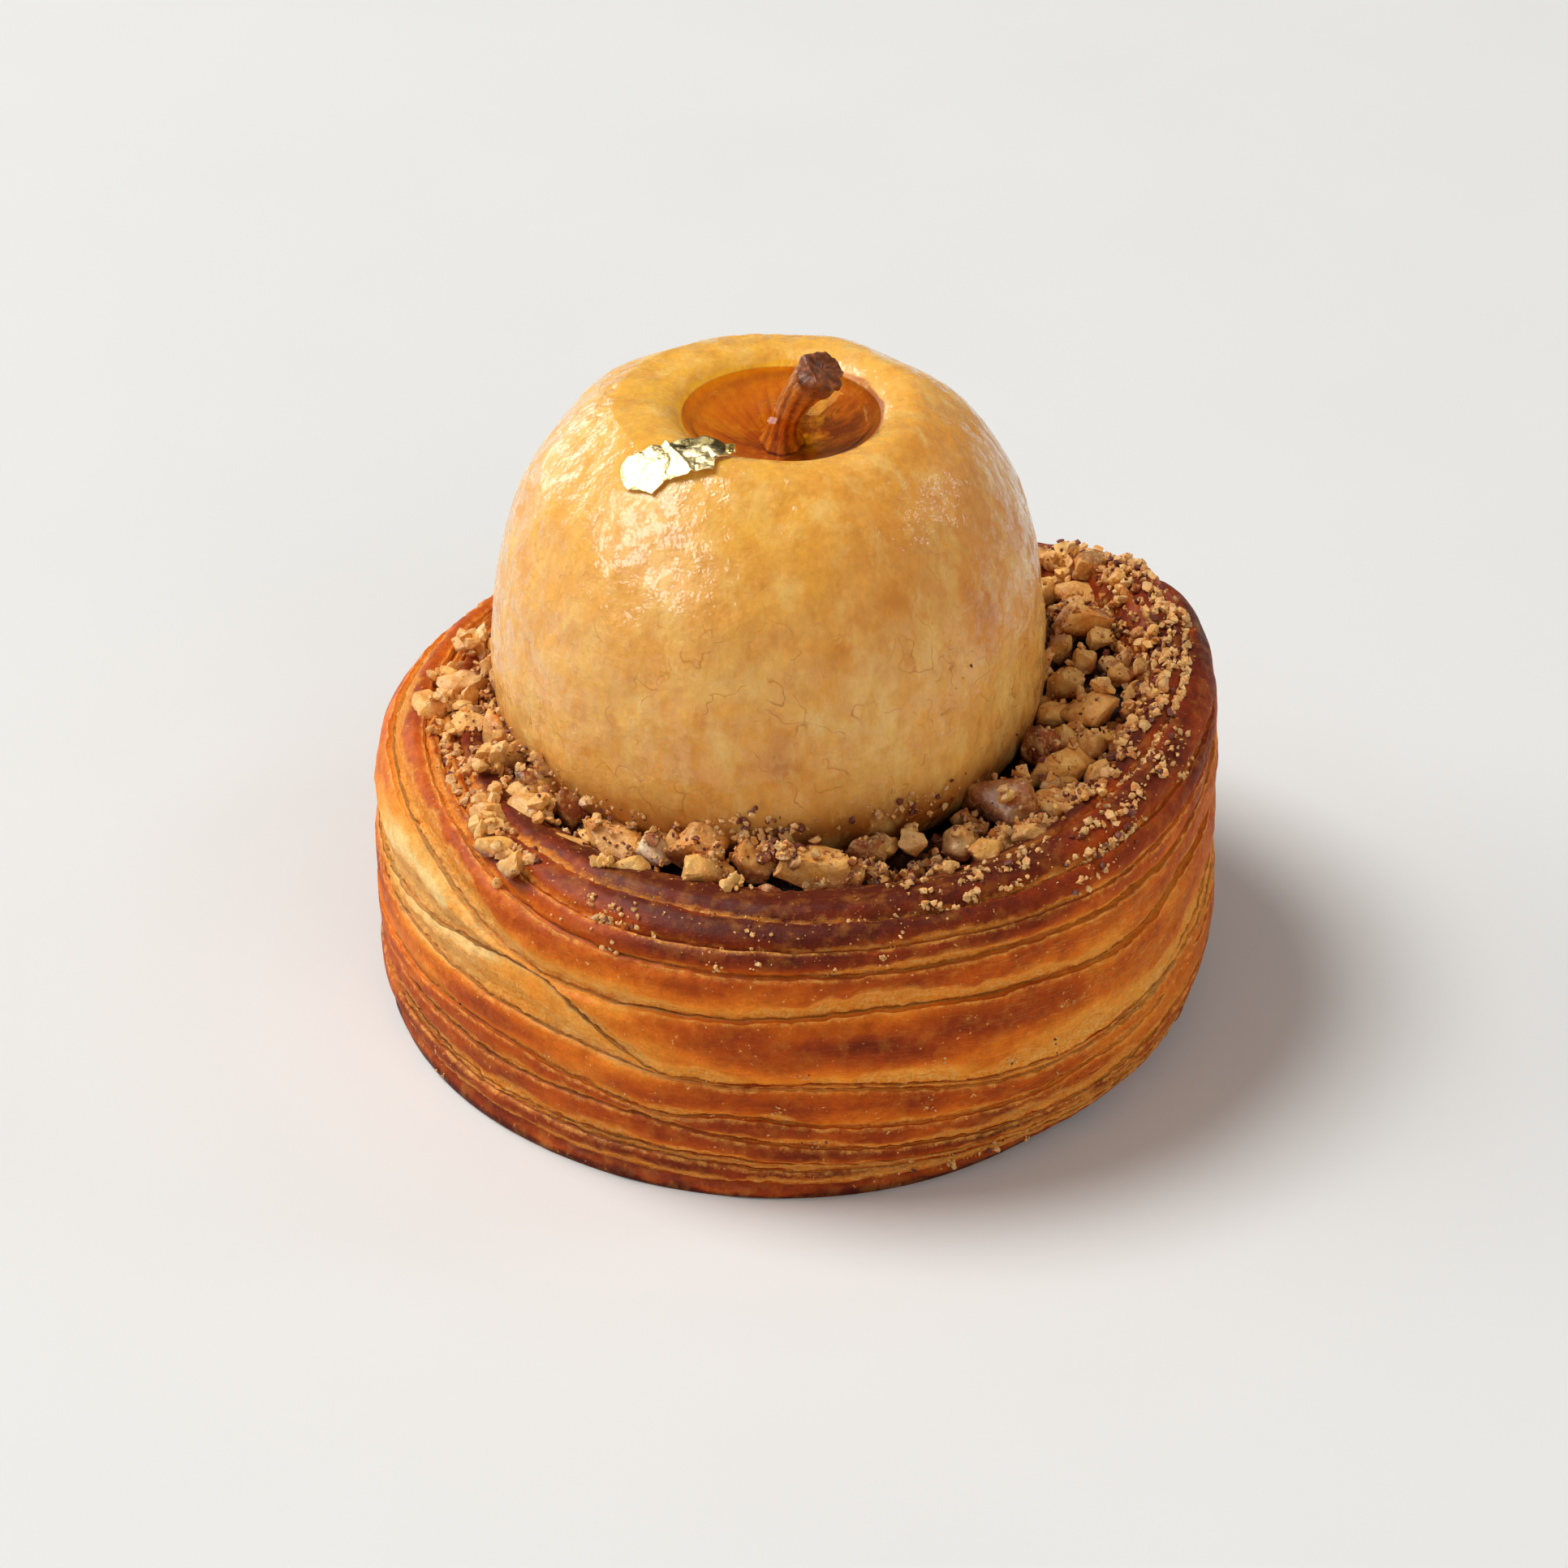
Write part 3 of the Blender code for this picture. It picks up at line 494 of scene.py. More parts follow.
def axes(tree, vector):
    return add(tree, "ShaderNodeSeparateXYZ", {0: vector}).outputs


def tint(tree, part="Color"):
    return add(tree, "ShaderNodeAttribute", attribute_name="tint").outputs[part]


def noise(tree, size, detail=3.0, stretch=(1, 1, 1), roughness=0.55, shift=0.0):
    """A noise texture whose blobs are about size millimetres."""
    place = {"Vector": here(tree), "Location": (shift, 0, shift), "Scale": stretch}
    inputs = {"Vector": add(tree, "ShaderNodeMapping", place).outputs["Vector"],
              "Scale": 1 / (size * METRES), "Detail": detail, "Roughness": roughness}
    return add(tree, "ShaderNodeTexNoise", inputs).outputs["Fac"]


def remap(tree, value, low, high, to_low=0.0, to_high=1.0):
    inputs = {"Value": value, "From Min": low, "From Max": high, "To Min": to_low, "To Max": to_high}
    return add(tree, "ShaderNodeMapRange", inputs).outputs["Result"]


def spots(tree, span, *size, **look):
    """Noise remapped by span, which is the end of remap()'s arguments; the rest go to noise()."""
    return remap(tree, noise(tree, *size, **look), *span)


def blend(tree, kind, first, second, share):
    """Mixes two colours; kind is MIX, MULTIPLY and so on."""
    inputs = {0: share, 6: first, 7: second}
    return add(tree, "ShaderNodeMix", inputs, data_type="RGBA", blend_type=kind).outputs[2]


def over(tree, colour, *coats):
    """A colour with others over it, as (colour, share) pairs."""
    for coat, share in coats:
        colour = blend(tree, "MIX", colour, (*coat, 1.0), share)
    return colour


def shaded(tree, colour, *shades):
    """A colour made lighter or darker by numbers about 1."""
    for shade in shades:
        grey = add(tree, "ShaderNodeCombineColor", {0: shade, 1: shade, 2: shade}).outputs["Color"]
        colour = blend(tree, "MULTIPLY", colour, grey, 1.0)
    return colour


def bumps(tree, *layers):
    """Bumps over bumps, from the lowest: pairs of a height map and its height in millimetres."""
    inputs = {"Strength": 1.0}
    for height, distance in layers:
        inputs |= {"Height": height, "Distance": distance * METRES}
        inputs["Normal"] = add(tree, "ShaderNodeBump", inputs).outputs["Normal"]
    return inputs["Normal"]


def calc(tree, kind, *values):
    return add(tree, "ShaderNodeMath", dict(enumerate(values)), operation=kind).outputs[0]


def strayed(tree, value, *wanders):
    """A value moved up and down by (noise, amount) pairs."""
    for stray, amount in wanders:
        value = calc(tree, "MULTIPLY_ADD", stray, amount, value)
        value = calc(tree, "SUBTRACT", value, 0.5 * amount)
    return value


def layered(tree, above):
    """Noise in thin layers along the bands; above is how far a place lies above its band's foot."""
    x, y, z = axes(tree, here(tree))
    across = calc(tree, "MULTIPLY_ADD", above, 4.2, calc(tree, "MULTIPLY", z, 350.0))
    along = {0: calc(tree, "MULTIPLY", x, 450.0), 1: calc(tree, "MULTIPLY", y, 450.0), 2: across}
    inputs = {"Vector": add(tree, "ShaderNodeCombineXYZ", along).outputs[0], "Scale": 1.0, "Detail": 3.0}
    return add(tree, "ShaderNodeTexNoise", inputs).outputs["Fac"]


def crust_material():
    made, tree, shader = base_material("crust", Specular_IOR_Level=0.07, Coat_Roughness=0.42)
    marks = add(tree, "ShaderNodeAttribute", attribute_name="marks").outputs
    above, below, tear = add(tree, "ShaderNodeSeparateColor", {"Color": marks["Color"]}).outputs
    layers, grains = layered(tree, above), noise(tree, 0.38, 4, roughness=0.72)
    clouds = noise(tree, 1.3)
    edge = strayed(tree, above, (layers, 0.9), (grains, 1.0), (clouds, 1.7))
    edge = remap(tree, calc(tree, "SUBTRACT", edge, tear), 0.55, -0.40)
    frayed = calc(tree, "MULTIPLY", remap(tree, layers, 0.53, 0.60), tint(tree, "Alpha"))
    torn = calc(tree, "MAXIMUM", edge, frayed)
    # Painted shade in the cracks: the colour is darkened towards a warm brown there, more where a crack
    # gapes wide.
    crack = remap(tree, strayed(tree, above, (layers, 0.4), (grains, 0.35)), 0.42, 0.06)
    crack = calc(tree, "MULTIPLY", crack, remap(tree, marks["Alpha"], 0.0, 1.0, 0.45, 1.0))
    # A thin pale orange line along each band's lip: partly its paler flaked edge, partly a painted
    # highlight where the ledge catches the light.
    lip = remap(tree, strayed(tree, below, (layers, 0.3), (grains, 1.2)), 0.50, 0.0)
    lip = calc(tree, "MULTIPLY", lip, remap(tree, clouds, 0.40, 0.60, 0.1, 0.75))
    colour = crust_colour(tree, layers, grains, torn)
    colour = blend(tree, "MULTIPLY", colour, (0.50, 0.14, 0.05, 1), crack)
    up = axes(tree, add(tree, "ShaderNodeNewGeometry").outputs["Normal"])[2]
    calm = calc(tree, "SUBTRACT", 1.0, torn)
    crumbly = calc(tree, "MULTIPLY", calc(tree, "ADD", layers, grains), torn)
    wire(shader, Base_Color=over(tree, colour, ((1.0, 0.46, 0.09), lip)),
         Coat_Weight=calc(tree, "MULTIPLY", remap(tree, up, 0.1, 0.8, 0.02, 0.13), calm),
         Roughness=spots(tree, (0.3, 0.7, 0.40, 0.66), 1.2),
         Normal=bumps(tree, (noise(tree, 0.30, 3, roughness=0.65), 0.10), (noise(tree, 1.1, 4), 0.22),
                      (crumbly, 0.22)))
    return made


def crust_colour(tree, layers, grains, torn):
    """The baked skin, and under it where it is torn the paler crumb in thin layers."""
    skin = shaded(tree, tint(tree), spots(tree, (0.32, 0.68, 0.84, 1.12), 0.40, 4, roughness=0.7),
                  spots(tree, (0.3, 0.7, 0.88, 1.12), 3.0, 4), remap(tree, layers, 0.3, 0.7, 0.94, 1.05))
    blotches = spots(tree, (0.50, 0.72, 0.0, 0.20), 2.2, 4, roughness=0.6)
    specks = spots(tree, (0.69, 0.74, 0.0, 0.75), 0.55, 2)
    skin = over(tree, skin, ((0.92, 0.34, 0.04), blotches), ((1.0, 0.56, 0.20), specks))
    light = strayed(tree, grains, (layers, 0.45))
    raw = over(tree, (0.88, 0.21, 0.012, 1), ((1.0, 0.38, 0.045), remap(tree, light, 0.32, 0.48)),
               ((1.0, 0.58, 0.18), remap(tree, light, 0.50, 0.64)))
    raw = blend(tree, "MIX", skin, raw, 0.70)
    return blend(tree, "MIX", skin, raw, torn)


def flesh_material():
    made, tree, shader = base_material(
        "glazed_flesh", Roughness=0.38, Specular_IOR_Level=0.20, Coat_Roughness=0.06, Coat_IOR=1.45,
        Subsurface_Weight=0.35, Subsurface_Radius=(2.6, 1.2, 0.45), Subsurface_Scale=METRES)
    fibres = spots(tree, (0.3, 0.7, 0.92, 1.07), 0.8, 4, (1, 1, 0.35), 0.65)
    mottle = spots(tree, (0.46, 0.70, 0.0, 0.50), 2.6, 5, (1, 1, 0.6), 0.62)
    pale = spots(tree, (0.50, 0.68, 0.0, 0.55), 4.0, 5, (1, 1, 0.5), 0.68)
    wet = spots(tree, (0.46, 0.50, 0.10, 1.0), 1.8, 5, (1, 1, 0.7), 0.7)
    wire(shader, Base_Color=over(tree, shaded(tree, tint(tree), fibres), ((0.68, 0.24, 0.03), mottle),
                                 ((1.0, 0.66, 0.20), pale), ((0.60, 0.22, 0.03), veins(tree))),
         Normal=bumps(tree, (noise(tree, 0.7), 0.05), (noise(tree, 2.6, 4), 0.34)),
         Coat_Normal=bumps(tree, (noise(tree, 1.3, 3, (1, 1, 0.7)), 0.16), (noise(tree, 3.2, 4), 0.50)),
         Coat_Weight=calc(tree, "MULTIPLY", wet, tint(tree, "Alpha")))
    return made


def veins(tree):
    """Thin wandering brown threads where two noises cross their middles, most of them low down."""
    shares = []
    for size, shift, wide in ((7.0, 0.3, 0.0075), (4.6, 0.7, 0.010)):
        off = calc(tree, "SUBTRACT", noise(tree, size, 2.5, roughness=0.45, shift=shift), 0.5)
        thread = remap(tree, calc(tree, "ABSOLUTE", off), wide, 0.15 * wide)
        gaps = spots(tree, (0.50, 0.62), 0.8 * size, 2, (1, 1, 0.7))
        shares.append(calc(tree, "MULTIPLY", thread, gaps))
    low = remap(tree, axes(tree, here(tree))[2], 0.074, 0.056, 0.12, 0.95)
    return calc(tree, "MULTIPLY", calc(tree, "MAXIMUM", *shares), low)


def syrup_material():
    """Clear amber that tints what lies under it, and mirrors more at a glancing angle."""
    made = bpy.data.materials.new("syrup_clear")
    made.use_nodes = True
    tree = made.node_tree
    tree.nodes.clear()
    ripple = bumps(tree, (noise(tree, 3.5, 2), 0.05))
    colour = over(tree, (0.97, 0.82, 0.36, 1), ((0.99, 0.88, 0.46), spots(tree, (0.3, 0.7), 2.5, 2)))
    clear = add(tree, "ShaderNodeBsdfTransparent", {"Color": colour}).outputs[0]
    mirror = add(tree, "ShaderNodeBsdfGlossy", {"Roughness": 0.04, "Normal": ripple}).outputs[0]
    facing = add(tree, "ShaderNodeLayerWeight", {"Blend": 0.5, "Normal": ripple}).outputs["Facing"]
    share = remap(tree, calc(tree, "POWER", facing, 5.0), 0.0, 1.0, 0.018, 1.0)
    both = add(tree, "ShaderNodeMixShader", {0: share, 1: clear, 2: mirror}).outputs[0]
    add(tree, "ShaderNodeOutputMaterial", {"Surface": both})
    return made


def stalk_material():
    made, tree, shader = base_material(
        "stalk_bark", Specular_IOR_Level=0.3, Coat_Weight=0.12, Coat_Roughness=0.25,
        Subsurface_Weight=0.1, Subsurface_Radius=(1.0, 0.3, 0.1), Subsurface_Scale=METRES)
    wire(shader, Base_Color=shaded(tree, tint(tree), spots(tree, (0.3, 0.7, 0.75, 1.2), 0.5)),
         Roughness=spots(tree, (0.3, 0.7, 0.3, 0.5), 0.8, 2),
         Normal=bumps(tree, (noise(tree, 0.3), 0.08)))
    return made


def leaf_material():
    made, tree, shader = base_material("leaf_gold", Metallic=1.0)
    wire(shader, Base_Color=tint(tree), Roughness=spots(tree, (0.3, 0.7, 0.10, 0.26), 0.8),
         Normal=bumps(tree, (noise(tree, 0.4, 4, roughness=0.7), 0.14)))
    return made


def nut_material(name, grain, coat, browned=0.0, clear=0.0):
    """A nut's look: the size of its grain, its shine, how mottled and how translucent it is."""
    made, tree, shader = base_material(
        name, Coat_Weight=coat, Coat_Roughness=0.2, Subsurface_Weight=clear,
        Subsurface_Radius=(1.0, 0.7, 0.35), Subsurface_Scale=0.6 * METRES)
    colour = shaded(tree, tint(tree), spots(tree, (0.32, 0.68, 0.84, 1.10), grain, 4, roughness=0.65))
    cream = spots(tree, (0.46, 0.60, 0.0, browned), 1.7)
    toast = spots(tree, (0.46, 0.62, 0.0, browned), 2.0, 4, roughness=0.65)
    powder = spots(tree, (0.56, 0.62, 0.0, browned), 0.55)
    specks = spots(tree, (0.67, 0.71, 0.0, 0.8), 0.7, 2)
    wire(shader, Roughness=spots(tree, (0.3, 0.7, 0.42, 0.68), 1.0, 2),
         Base_Color=over(tree, colour, ((1.0, 0.63, 0.20), cream), ((0.52, 0.12, 0.012), toast),
                         ((1.0, 0.64, 0.25), powder), ((0.16, 0.04, 0.012), specks)),
         Normal=bumps(tree, (noise(tree, 0.6 * grain, 4, roughness=0.7), 0.18),
                      (noise(tree, 2.0 * grain), 0.30)))
    return made


def floor_material():
    made, tree, shader = base_material("floor", Specular_IOR_Level=0.2)
    dimmer = tuple(0.985 * channel for channel in FLOOR_COLOUR[:3])
    wire(shader, Base_Color=over(tree, FLOOR_COLOUR, (dimmer, spots(tree, (0.3, 0.7), 60.0, 2))),
         Roughness=spots(tree, (0.3, 0.7, 0.55, 0.65), 40.0, 2))
    return made


# Pastry case

def wall_radius(azimuth, height):
    right = np.clip(np.cos(np.radians(azimuth)), 0, None) ** 1.5
    left = np.clip(-np.cos(np.radians(azimuth)), 0, None)
    swell = RIGHT_SWELL + RIGHT_BULGE * hill(height - 12, 8)
    return WALL_RADIUS + right * swell - left * LEFT_LEAN * unit((height - 20) / 14) ** 1.5


def case_profile(azimuth, inwards, relief=0.0):
    """Radius and height of the case's outside, at a distance inwards from the top corner of its wall."""
    top = around(RIM_HEIGHT, azimuth)
    turn = np.radians(np.clip(inwards / SHOULDER_RADIUS + 1, 0, 2) * 45)
    height = top - SHOULDER_RADIUS * (1 - np.sin(turn))
    height = height + np.minimum(inwards + SHOULDER_RADIUS, 0)
    height = height - RIM_FALL * np.maximum(inwards - SHOULDER_RADIUS, 0)
    radius = wall_radius(azimuth, height) - SHOULDER_RADIUS * (1 - np.cos(turn))
    radius = radius - np.maximum(inwards - SHOULDER_RADIUS, 0)
    return radius + relief * np.cos(turn), height + relief * np.sin(turn)


def band_edges(azimuth):
    """Every band's ragged upper edge, as distances inwards from the wall's top corner."""
    top = around(RIM_HEIGHT, azimuth)
    edges = [around(edge, azimuth) - top for edge in WALL_EDGES]
    edges += [around(edge, azimuth) for edge in RIM_GROOVES]
    ragged = [edge + (0.16 * wander(azimuth, 70, index) + 0.10 * wander(azimuth, 240, index))
              for index, edge in enumerate(edges)]
    for low, high in zip(ragged, ragged[1:]):
        np.maximum(high, low + 0.25, out=high)
    return ragged


def band_shares(width):
    """Where the rows of a band lie, from its crack at 0 to its lip at 1."""
    low = [place for place in CRACK_ROWS if place < 0.45 * width]
    high = [width - place for place in LIP_ROWS if place < 0.35 * width]
    count = max(2, round((high[0] - low[-1]) / ROW_HEIGHT) + 1)
    return np.array(low[:-1] + list(np.linspace(low[-1], high[0], count)) + high[1:]) / width


def band_relief(above, share, tear, gape, strength, width):
    """How far a band stands out: a narrow crack, its torn foot, its belly and its lip."""
    depth = np.minimum(1, width / FULL_RELIEF_WIDTH)
    crack = np.interp(above, [0.0, 0.12, 0.30, 0.55], [1.0, 0.75, 0.25, 0.0]) * (0.25 + 0.75 * gape)
    belly = smooth(0.35 * tear, 0.5 * tear + 0.34 * width, above) * (1 - 0.35 * smooth(0.80, 1.0, share))
    return depth * (BAND_BULGE * strength * belly - CRACK_DEPTH * crack)


def crust_bake(azimuth, height, inwards, band, share):
    """How brown the crust is, from 0 to 1."""
    bake = BAND_BAKE[band] - 0.17 + 0.27 * smooth(0.0, 0.7, share) - 0.08 * smooth(0.85, 1.0, share)
    for middle, level, wide, tall, change in BAKE_PATCHES:
        bake = bake + change * hill(turn_gap(azimuth, middle), wide) * hill(height - level, tall)
    return bake + streak_sum(azimuth, inwards, (0.13, 24, 5.0, 3), (0.10, 64, 1.8, 5),
                             (0.04, 90, 0.60, 9), (0.05, 420, 0.7, 11))


def band_rows(azimuth, band, low, high):
    """The points and looks of one band, row by row. Looks are the tint, how frayed the crust is, and
    then the distances to the band's foot and lip, the width of its torn foot and how far its crack
    gapes."""
    width = high - low
    tear = BAND_TEAR[band] * (0.9 + 0.8 * wander(azimuth, 15, band + 40)
                              + 0.5 * wander(azimuth, 47, band + 60)
                              + 0.35 * wander(azimuth, 131, band + 80))
    for middle, wide, where, more in WIDE_TEARS:
        tear = tear + more * (where == band) * hill(turn_gap(azimuth, middle), wide)
    tear = np.clip(tear, 0.05, 0.8 * width)
    gape = unit(0.15 + 0.9 * wander(azimuth, 34, band + 120) + 0.6 * wander(azimuth, 150, band + 140))
    frayed = 0.02 + 0.34 * (band < 9) * hill(turn_gap(azimuth, 332), 32)
    for share in band_shares(float(width.mean())):
        above = width * share
        inwards = low + above
        _, height = case_profile(azimuth, inwards)
        calm = smooth(0.0, 0.15, above)
        torn = 1 - smooth(0.7 * tear, 1.2 * tear + 0.1, above)
        lumps = streak_sum(azimuth, inwards, (0.18, 40, 2.6, 21), (0.06, 110, 0.6, 23),
                           (0.05 + 0.25 * frayed, 60, 0.5, 35))
        pores = streak_sum(azimuth, inwards, (0.20, 260, 0.5, 25), (0.14, 600, 0.35, 27))
        fray = 0.16 * smooth(0.85, 1.0, share) * wander(azimuth, 330, 29)
        relief = band_relief(above, share, tear, gape, BAND_STRENGTH[band], width)
        relief = relief + calm * (lumps + torn * pores) + fray
        bake = crust_bake(azimuth, height, inwards, band, share)
        below = width - above + 0.4 * (band > 9)
        looks = [ramp(CRUST, unit(bake)), frayed, above, below, tear, gape]
        yield circle(azimuth, *case_profile(azimuth, inwards, relief)), np.column_stack(looks)


def whole(colour):
    """Looks of crust that isn't torn."""
    return np.column_stack([colour, np.tile((0.15, 9.0, 9.0, 0.0, 0.0), (len(colour), 1))])


def foot_rows(azimuth, low):
    """The foot's rounded side, from the ring it stands on to the lowest groove."""
    contact = around(CONTACT_RADIUS, azimuth)
    foot_radius, foot_height = case_profile(azimuth, low)
    for share in (0.0, 0.06, 0.18, 0.34, 0.5, 0.66, 0.82, 0.94, 1.0):
        inwards = 0 * azimuth + 3 * share
        swell = 0.10 * streaks(azimuth, inwards, 90, 0.7, 33) * (share > 0)
        swell = swell + 0.35 * math.sin(math.pi * share)
        radius = contact + (foot_radius - 0.4 - contact) * smooth(0.1, 0.9, share) + swell
        bake = 0.74 + streak_sum(azimuth, inwards, (0.10, 40, 1.5, 2), (0.08, 220, 0.6, 4))
        bake = bake + 0.36 * smooth(0.5, 0.2, share + 0.2 * wander(azimuth, 90, 6))
        yield circle(azimuth, radius, share * foot_height), whole(ramp(CRUST, unit(bake)))


def recess_rows(azimuth, low):
    """The inner wall and the floor under the nuts."""
    lip_radius, lip_height = case_profile(azimuth, low)
    wall = [(lip_radius - inwards, lip_height - down) for inwards, down in ((0.8, 1.0), RECESS_LIP)]
    for radius, height in wall + [(RECESS_FLOOR_RADIUS, RECESS_FLOOR)]:
        yield circle(azimuth, radius, height), whole(ramp(CRUST, 0.82 + 0 * azimuth))


def pastry_case(material):
    """The case in three pieces: its foot, its wall and its rim with the recess."""
    azimuth = np.arange(CASE_COLUMNS) * 360.0 / CASE_COLUMNS
    edges = band_edges(azimuth)
    rows = list(foot_rows(azimuth, edges[0]))
    made, band = [], 1
    for name, last_band, first, last in CASE_PIECES:
        while band <= last_band:
            rows += band_rows(azimuth, band, edges[band - 1], edges[band])
            band += 1
        if band == len(edges):
            rows += recess_rows(azimuth, edges[-1])
        rings, looks = zip(*rows)
        points, faces = closed_sheet(rings, first, last)
        ends = [looks[0][:1]] * (first is not None) + [looks[-1][:1]] * (last is not None)
        looks = np.concatenate([*looks, *ends])
        piece(name, points, faces, material, looks, nodes=("pastry_case",))
        made.append((points, faces))
        rows = rows[-1:]
    return made


# Apple, syrup, stalk and leaf

def apple_radius(height):
    up = unit((height - APPLE_EQUATOR) / APPLE_RISE)
    down = unit((APPLE_EQUATOR - height) / APPLE_DROP)
    return APPLE_RADIUS * (1 - up**TOP_SQUARENESS) ** (1 / TOP_SQUARENESS) * np.sqrt(1 - down**2)


def apple_profile():
    """(radius, height) pairs from the foot over the crest to the bottom of the hollow."""
    low = APPLE_EQUATOR + APPLE_DROP * np.sin(np.radians(np.linspace(-88, 0, 46)[:-1]))
    crest = APPLE_RISE * (1 - (CREST_RADIUS / APPLE_RADIUS) ** TOP_SQUARENESS) ** (1 / TOP_SQUARENESS)
    high = APPLE_EQUATOR + crest * np.sin(np.radians(np.linspace(0, 90, 90)))
    outside = [(float(apple_radius(height)), float(height)) for height in np.concatenate([low, high])]
    knots = np.array([(CREST_RADIUS, APPLE_EQUATOR + crest)] + HOLLOW_PROFILE)
    for _ in range(3):
        middles = 0.5 * (knots[:-1] + knots[1:])
        fine = np.empty((2 * len(knots) - 1, 2))
        fine[0::2], fine[1::2] = knots, middles
        fine[2:-2:2] = 0.5 * fine[2:-2:2] + 0.25 * (fine[1:-3:2] + fine[3:-1:2])
        knots = fine
    return outside + [tuple(pair) for pair in knots[1:-1]]


def apple_rings(azimuth):
    """Points of the peeled outside and the hollow, and their azimuths, radii and heights."""
    rows, places = [], []
    for radius, height in apple_profile():
        top = height > APPLE_EQUATOR
        inner = max(0.0, min(1.0, (CREST_RADIUS - radius) / 4)) if top else 0.0
        facet = PEEL_FACET * np.cos(np.radians(9 * azimuth + 2 * height))
        facet = facet * (1 - inner) * min(1, radius / 20)
        rows.append(circle(azimuth, radius + facet, height, APPLE_X + inner * (HOLLOW_X - APPLE_X)))
        places.append(np.column_stack([azimuth, radius + 0 * azimuth, height + 0 * azimuth]))
    return np.concatenate(rows), np.concatenate(places)


def apple(material):
    azimuth = np.arange(APPLE_COLUMNS) * 360.0 / APPLE_COLUMNS
    points, places = apple_rings(azimuth)
    turn, radius, height = places.T
    outwards = points - (APPLE_X, 0, APPLE_EQUATOR)
    outwards /= np.linalg.norm(outwards, axis=1)[:, None]
    outside = np.where(height > HOLLOW_FROM, smooth(11.0, 15.0, radius), 1.0)
    lumps = 0.50 * blobs(points, (10, 10, 17), 1) + 0.20 * blobs(points, 4.0, 2)
    lumps = lumps + 0.06 * blobs(points, 1.3, 3)
    points = points + outwards * (lumps * outside)[:, None]
    colour = flesh_tint(points, turn, radius, height)
    hollow = (height > HOLLOW_FROM) & (radius < SKIN_RADIUS + 1.5)
    skin = hollow_tint(turn, radius)
    edge = SKIN_RADIUS + 0.25 * wander(turn, 40, 4)
    inside = np.where(hollow, 1 - smooth(edge - 0.15, edge + 0.15, radius), 0.0)
    colour = np.column_stack([mix(colour, skin, inside), 1 - inside])
    rows = points.reshape(-1, APPLE_COLUMNS, 3)
    foot, bottom = (APPLE_X, 0, APPLE_EQUATOR - APPLE_DROP), (HOLLOW_X, 0, HOLLOW_PROFILE[-1][1])
    points, faces = closed_sheet(rows, foot, bottom)
    colour = np.concatenate([colour, colour[:1], [(0.16, 0.05, 0.01, 0.0)]])
    piece("flesh", points, faces, material, colour, nodes=("apple",))
    return points, faces


def flesh_tint(points, turn, radius, height):
    """The peeled flesh: golden where glaze runs over the top and the left, beige below, with marks. Its
    upper right carries painted shade, and its foot is darker from syrup soak and painted shade.
    """
    pale = 0.70 + 0.22 * rough(points, 7.0, 5) + 0.12 * rough(points, 2.0, 6)
    for middle, level, wide, tall, strength in BRUISES:
        near = (turn_gap(turn, middle) / wide) ** 2 + ((height - level) / tall) ** 2
        pale = pale - strength * np.exp(-near * (1 + 0.6 * rough(points, 1.6, 8)))
    colour = ramp(FLESH, unit(pale))
    left = 0.5 - 0.5 * np.cos(np.radians(turn_gap(turn, 10)))
    gold = smooth(64, 80, height) * 0.7 + 0.35 * left * smooth(50, 72, height) - 0.12
    colour = mix(colour, (0.96, 0.49, 0.045), np.clip(gold + 0.35 * rough(points, 6.0, 9), 0, 0.8))
    # Painted shade: the upper right of the flesh is darkened, where the light from the left falls less.
    painted_shade_upper_right = hill(turn_gap(turn, 338), 52) * smooth(46, 66, height) * smooth(12, 20, radius)
    dim = 1 - 0.07 * left * smooth(48, 60, height)
    # Darker towards the foot, most on the right front: syrup soaking the flesh there, and painted shade
    # where the nuts meet it.
    wet = smooth(45, 38.5, height) * (0.35 + 0.65 * hill(turn_gap(turn, 300), 45))
    colour = colour * (1 - painted_shade_upper_right[:, None] * (0.16, 0.30, 0.32)) * dim[:, None]
    return colour * (1 - wet[:, None] * (0.66, 0.82, 0.88))


def hollow_tint(turn, radius):
    """The skin left in the hollow, streaked towards the stalk and darker the deeper it lies, with
    painted shade on its right side.
    """
    depth = smooth(SKIN_RADIUS, 2.5, radius)
    fine = 0.5 + streak_sum(turn, radius, (0.5, 150, 6.0, 41), (0.3, 60, 3.0, 43))
    brim = unit(-np.sin(np.radians(turn))) * smooth(9.6, 11.0, radius)
    right = unit(np.cos(np.radians(turn)))
    dark = 0.06 + 0.66 * depth + 0.34 * (fine - 0.4) * smooth(12.5, 8, radius) - 0.30 * brim
    stops = [(0.0, (0.95, 0.50, 0.03)), (0.35, (0.82, 0.32, 0.01)), (0.65, (0.50, 0.14, 0.005)),
             (1.0, (0.16, 0.03, 0.004))]
    # Painted shade on the right side of the hollow, which the light from the left reaches.
    return ramp(stops, unit(dark + 0.75 * right))


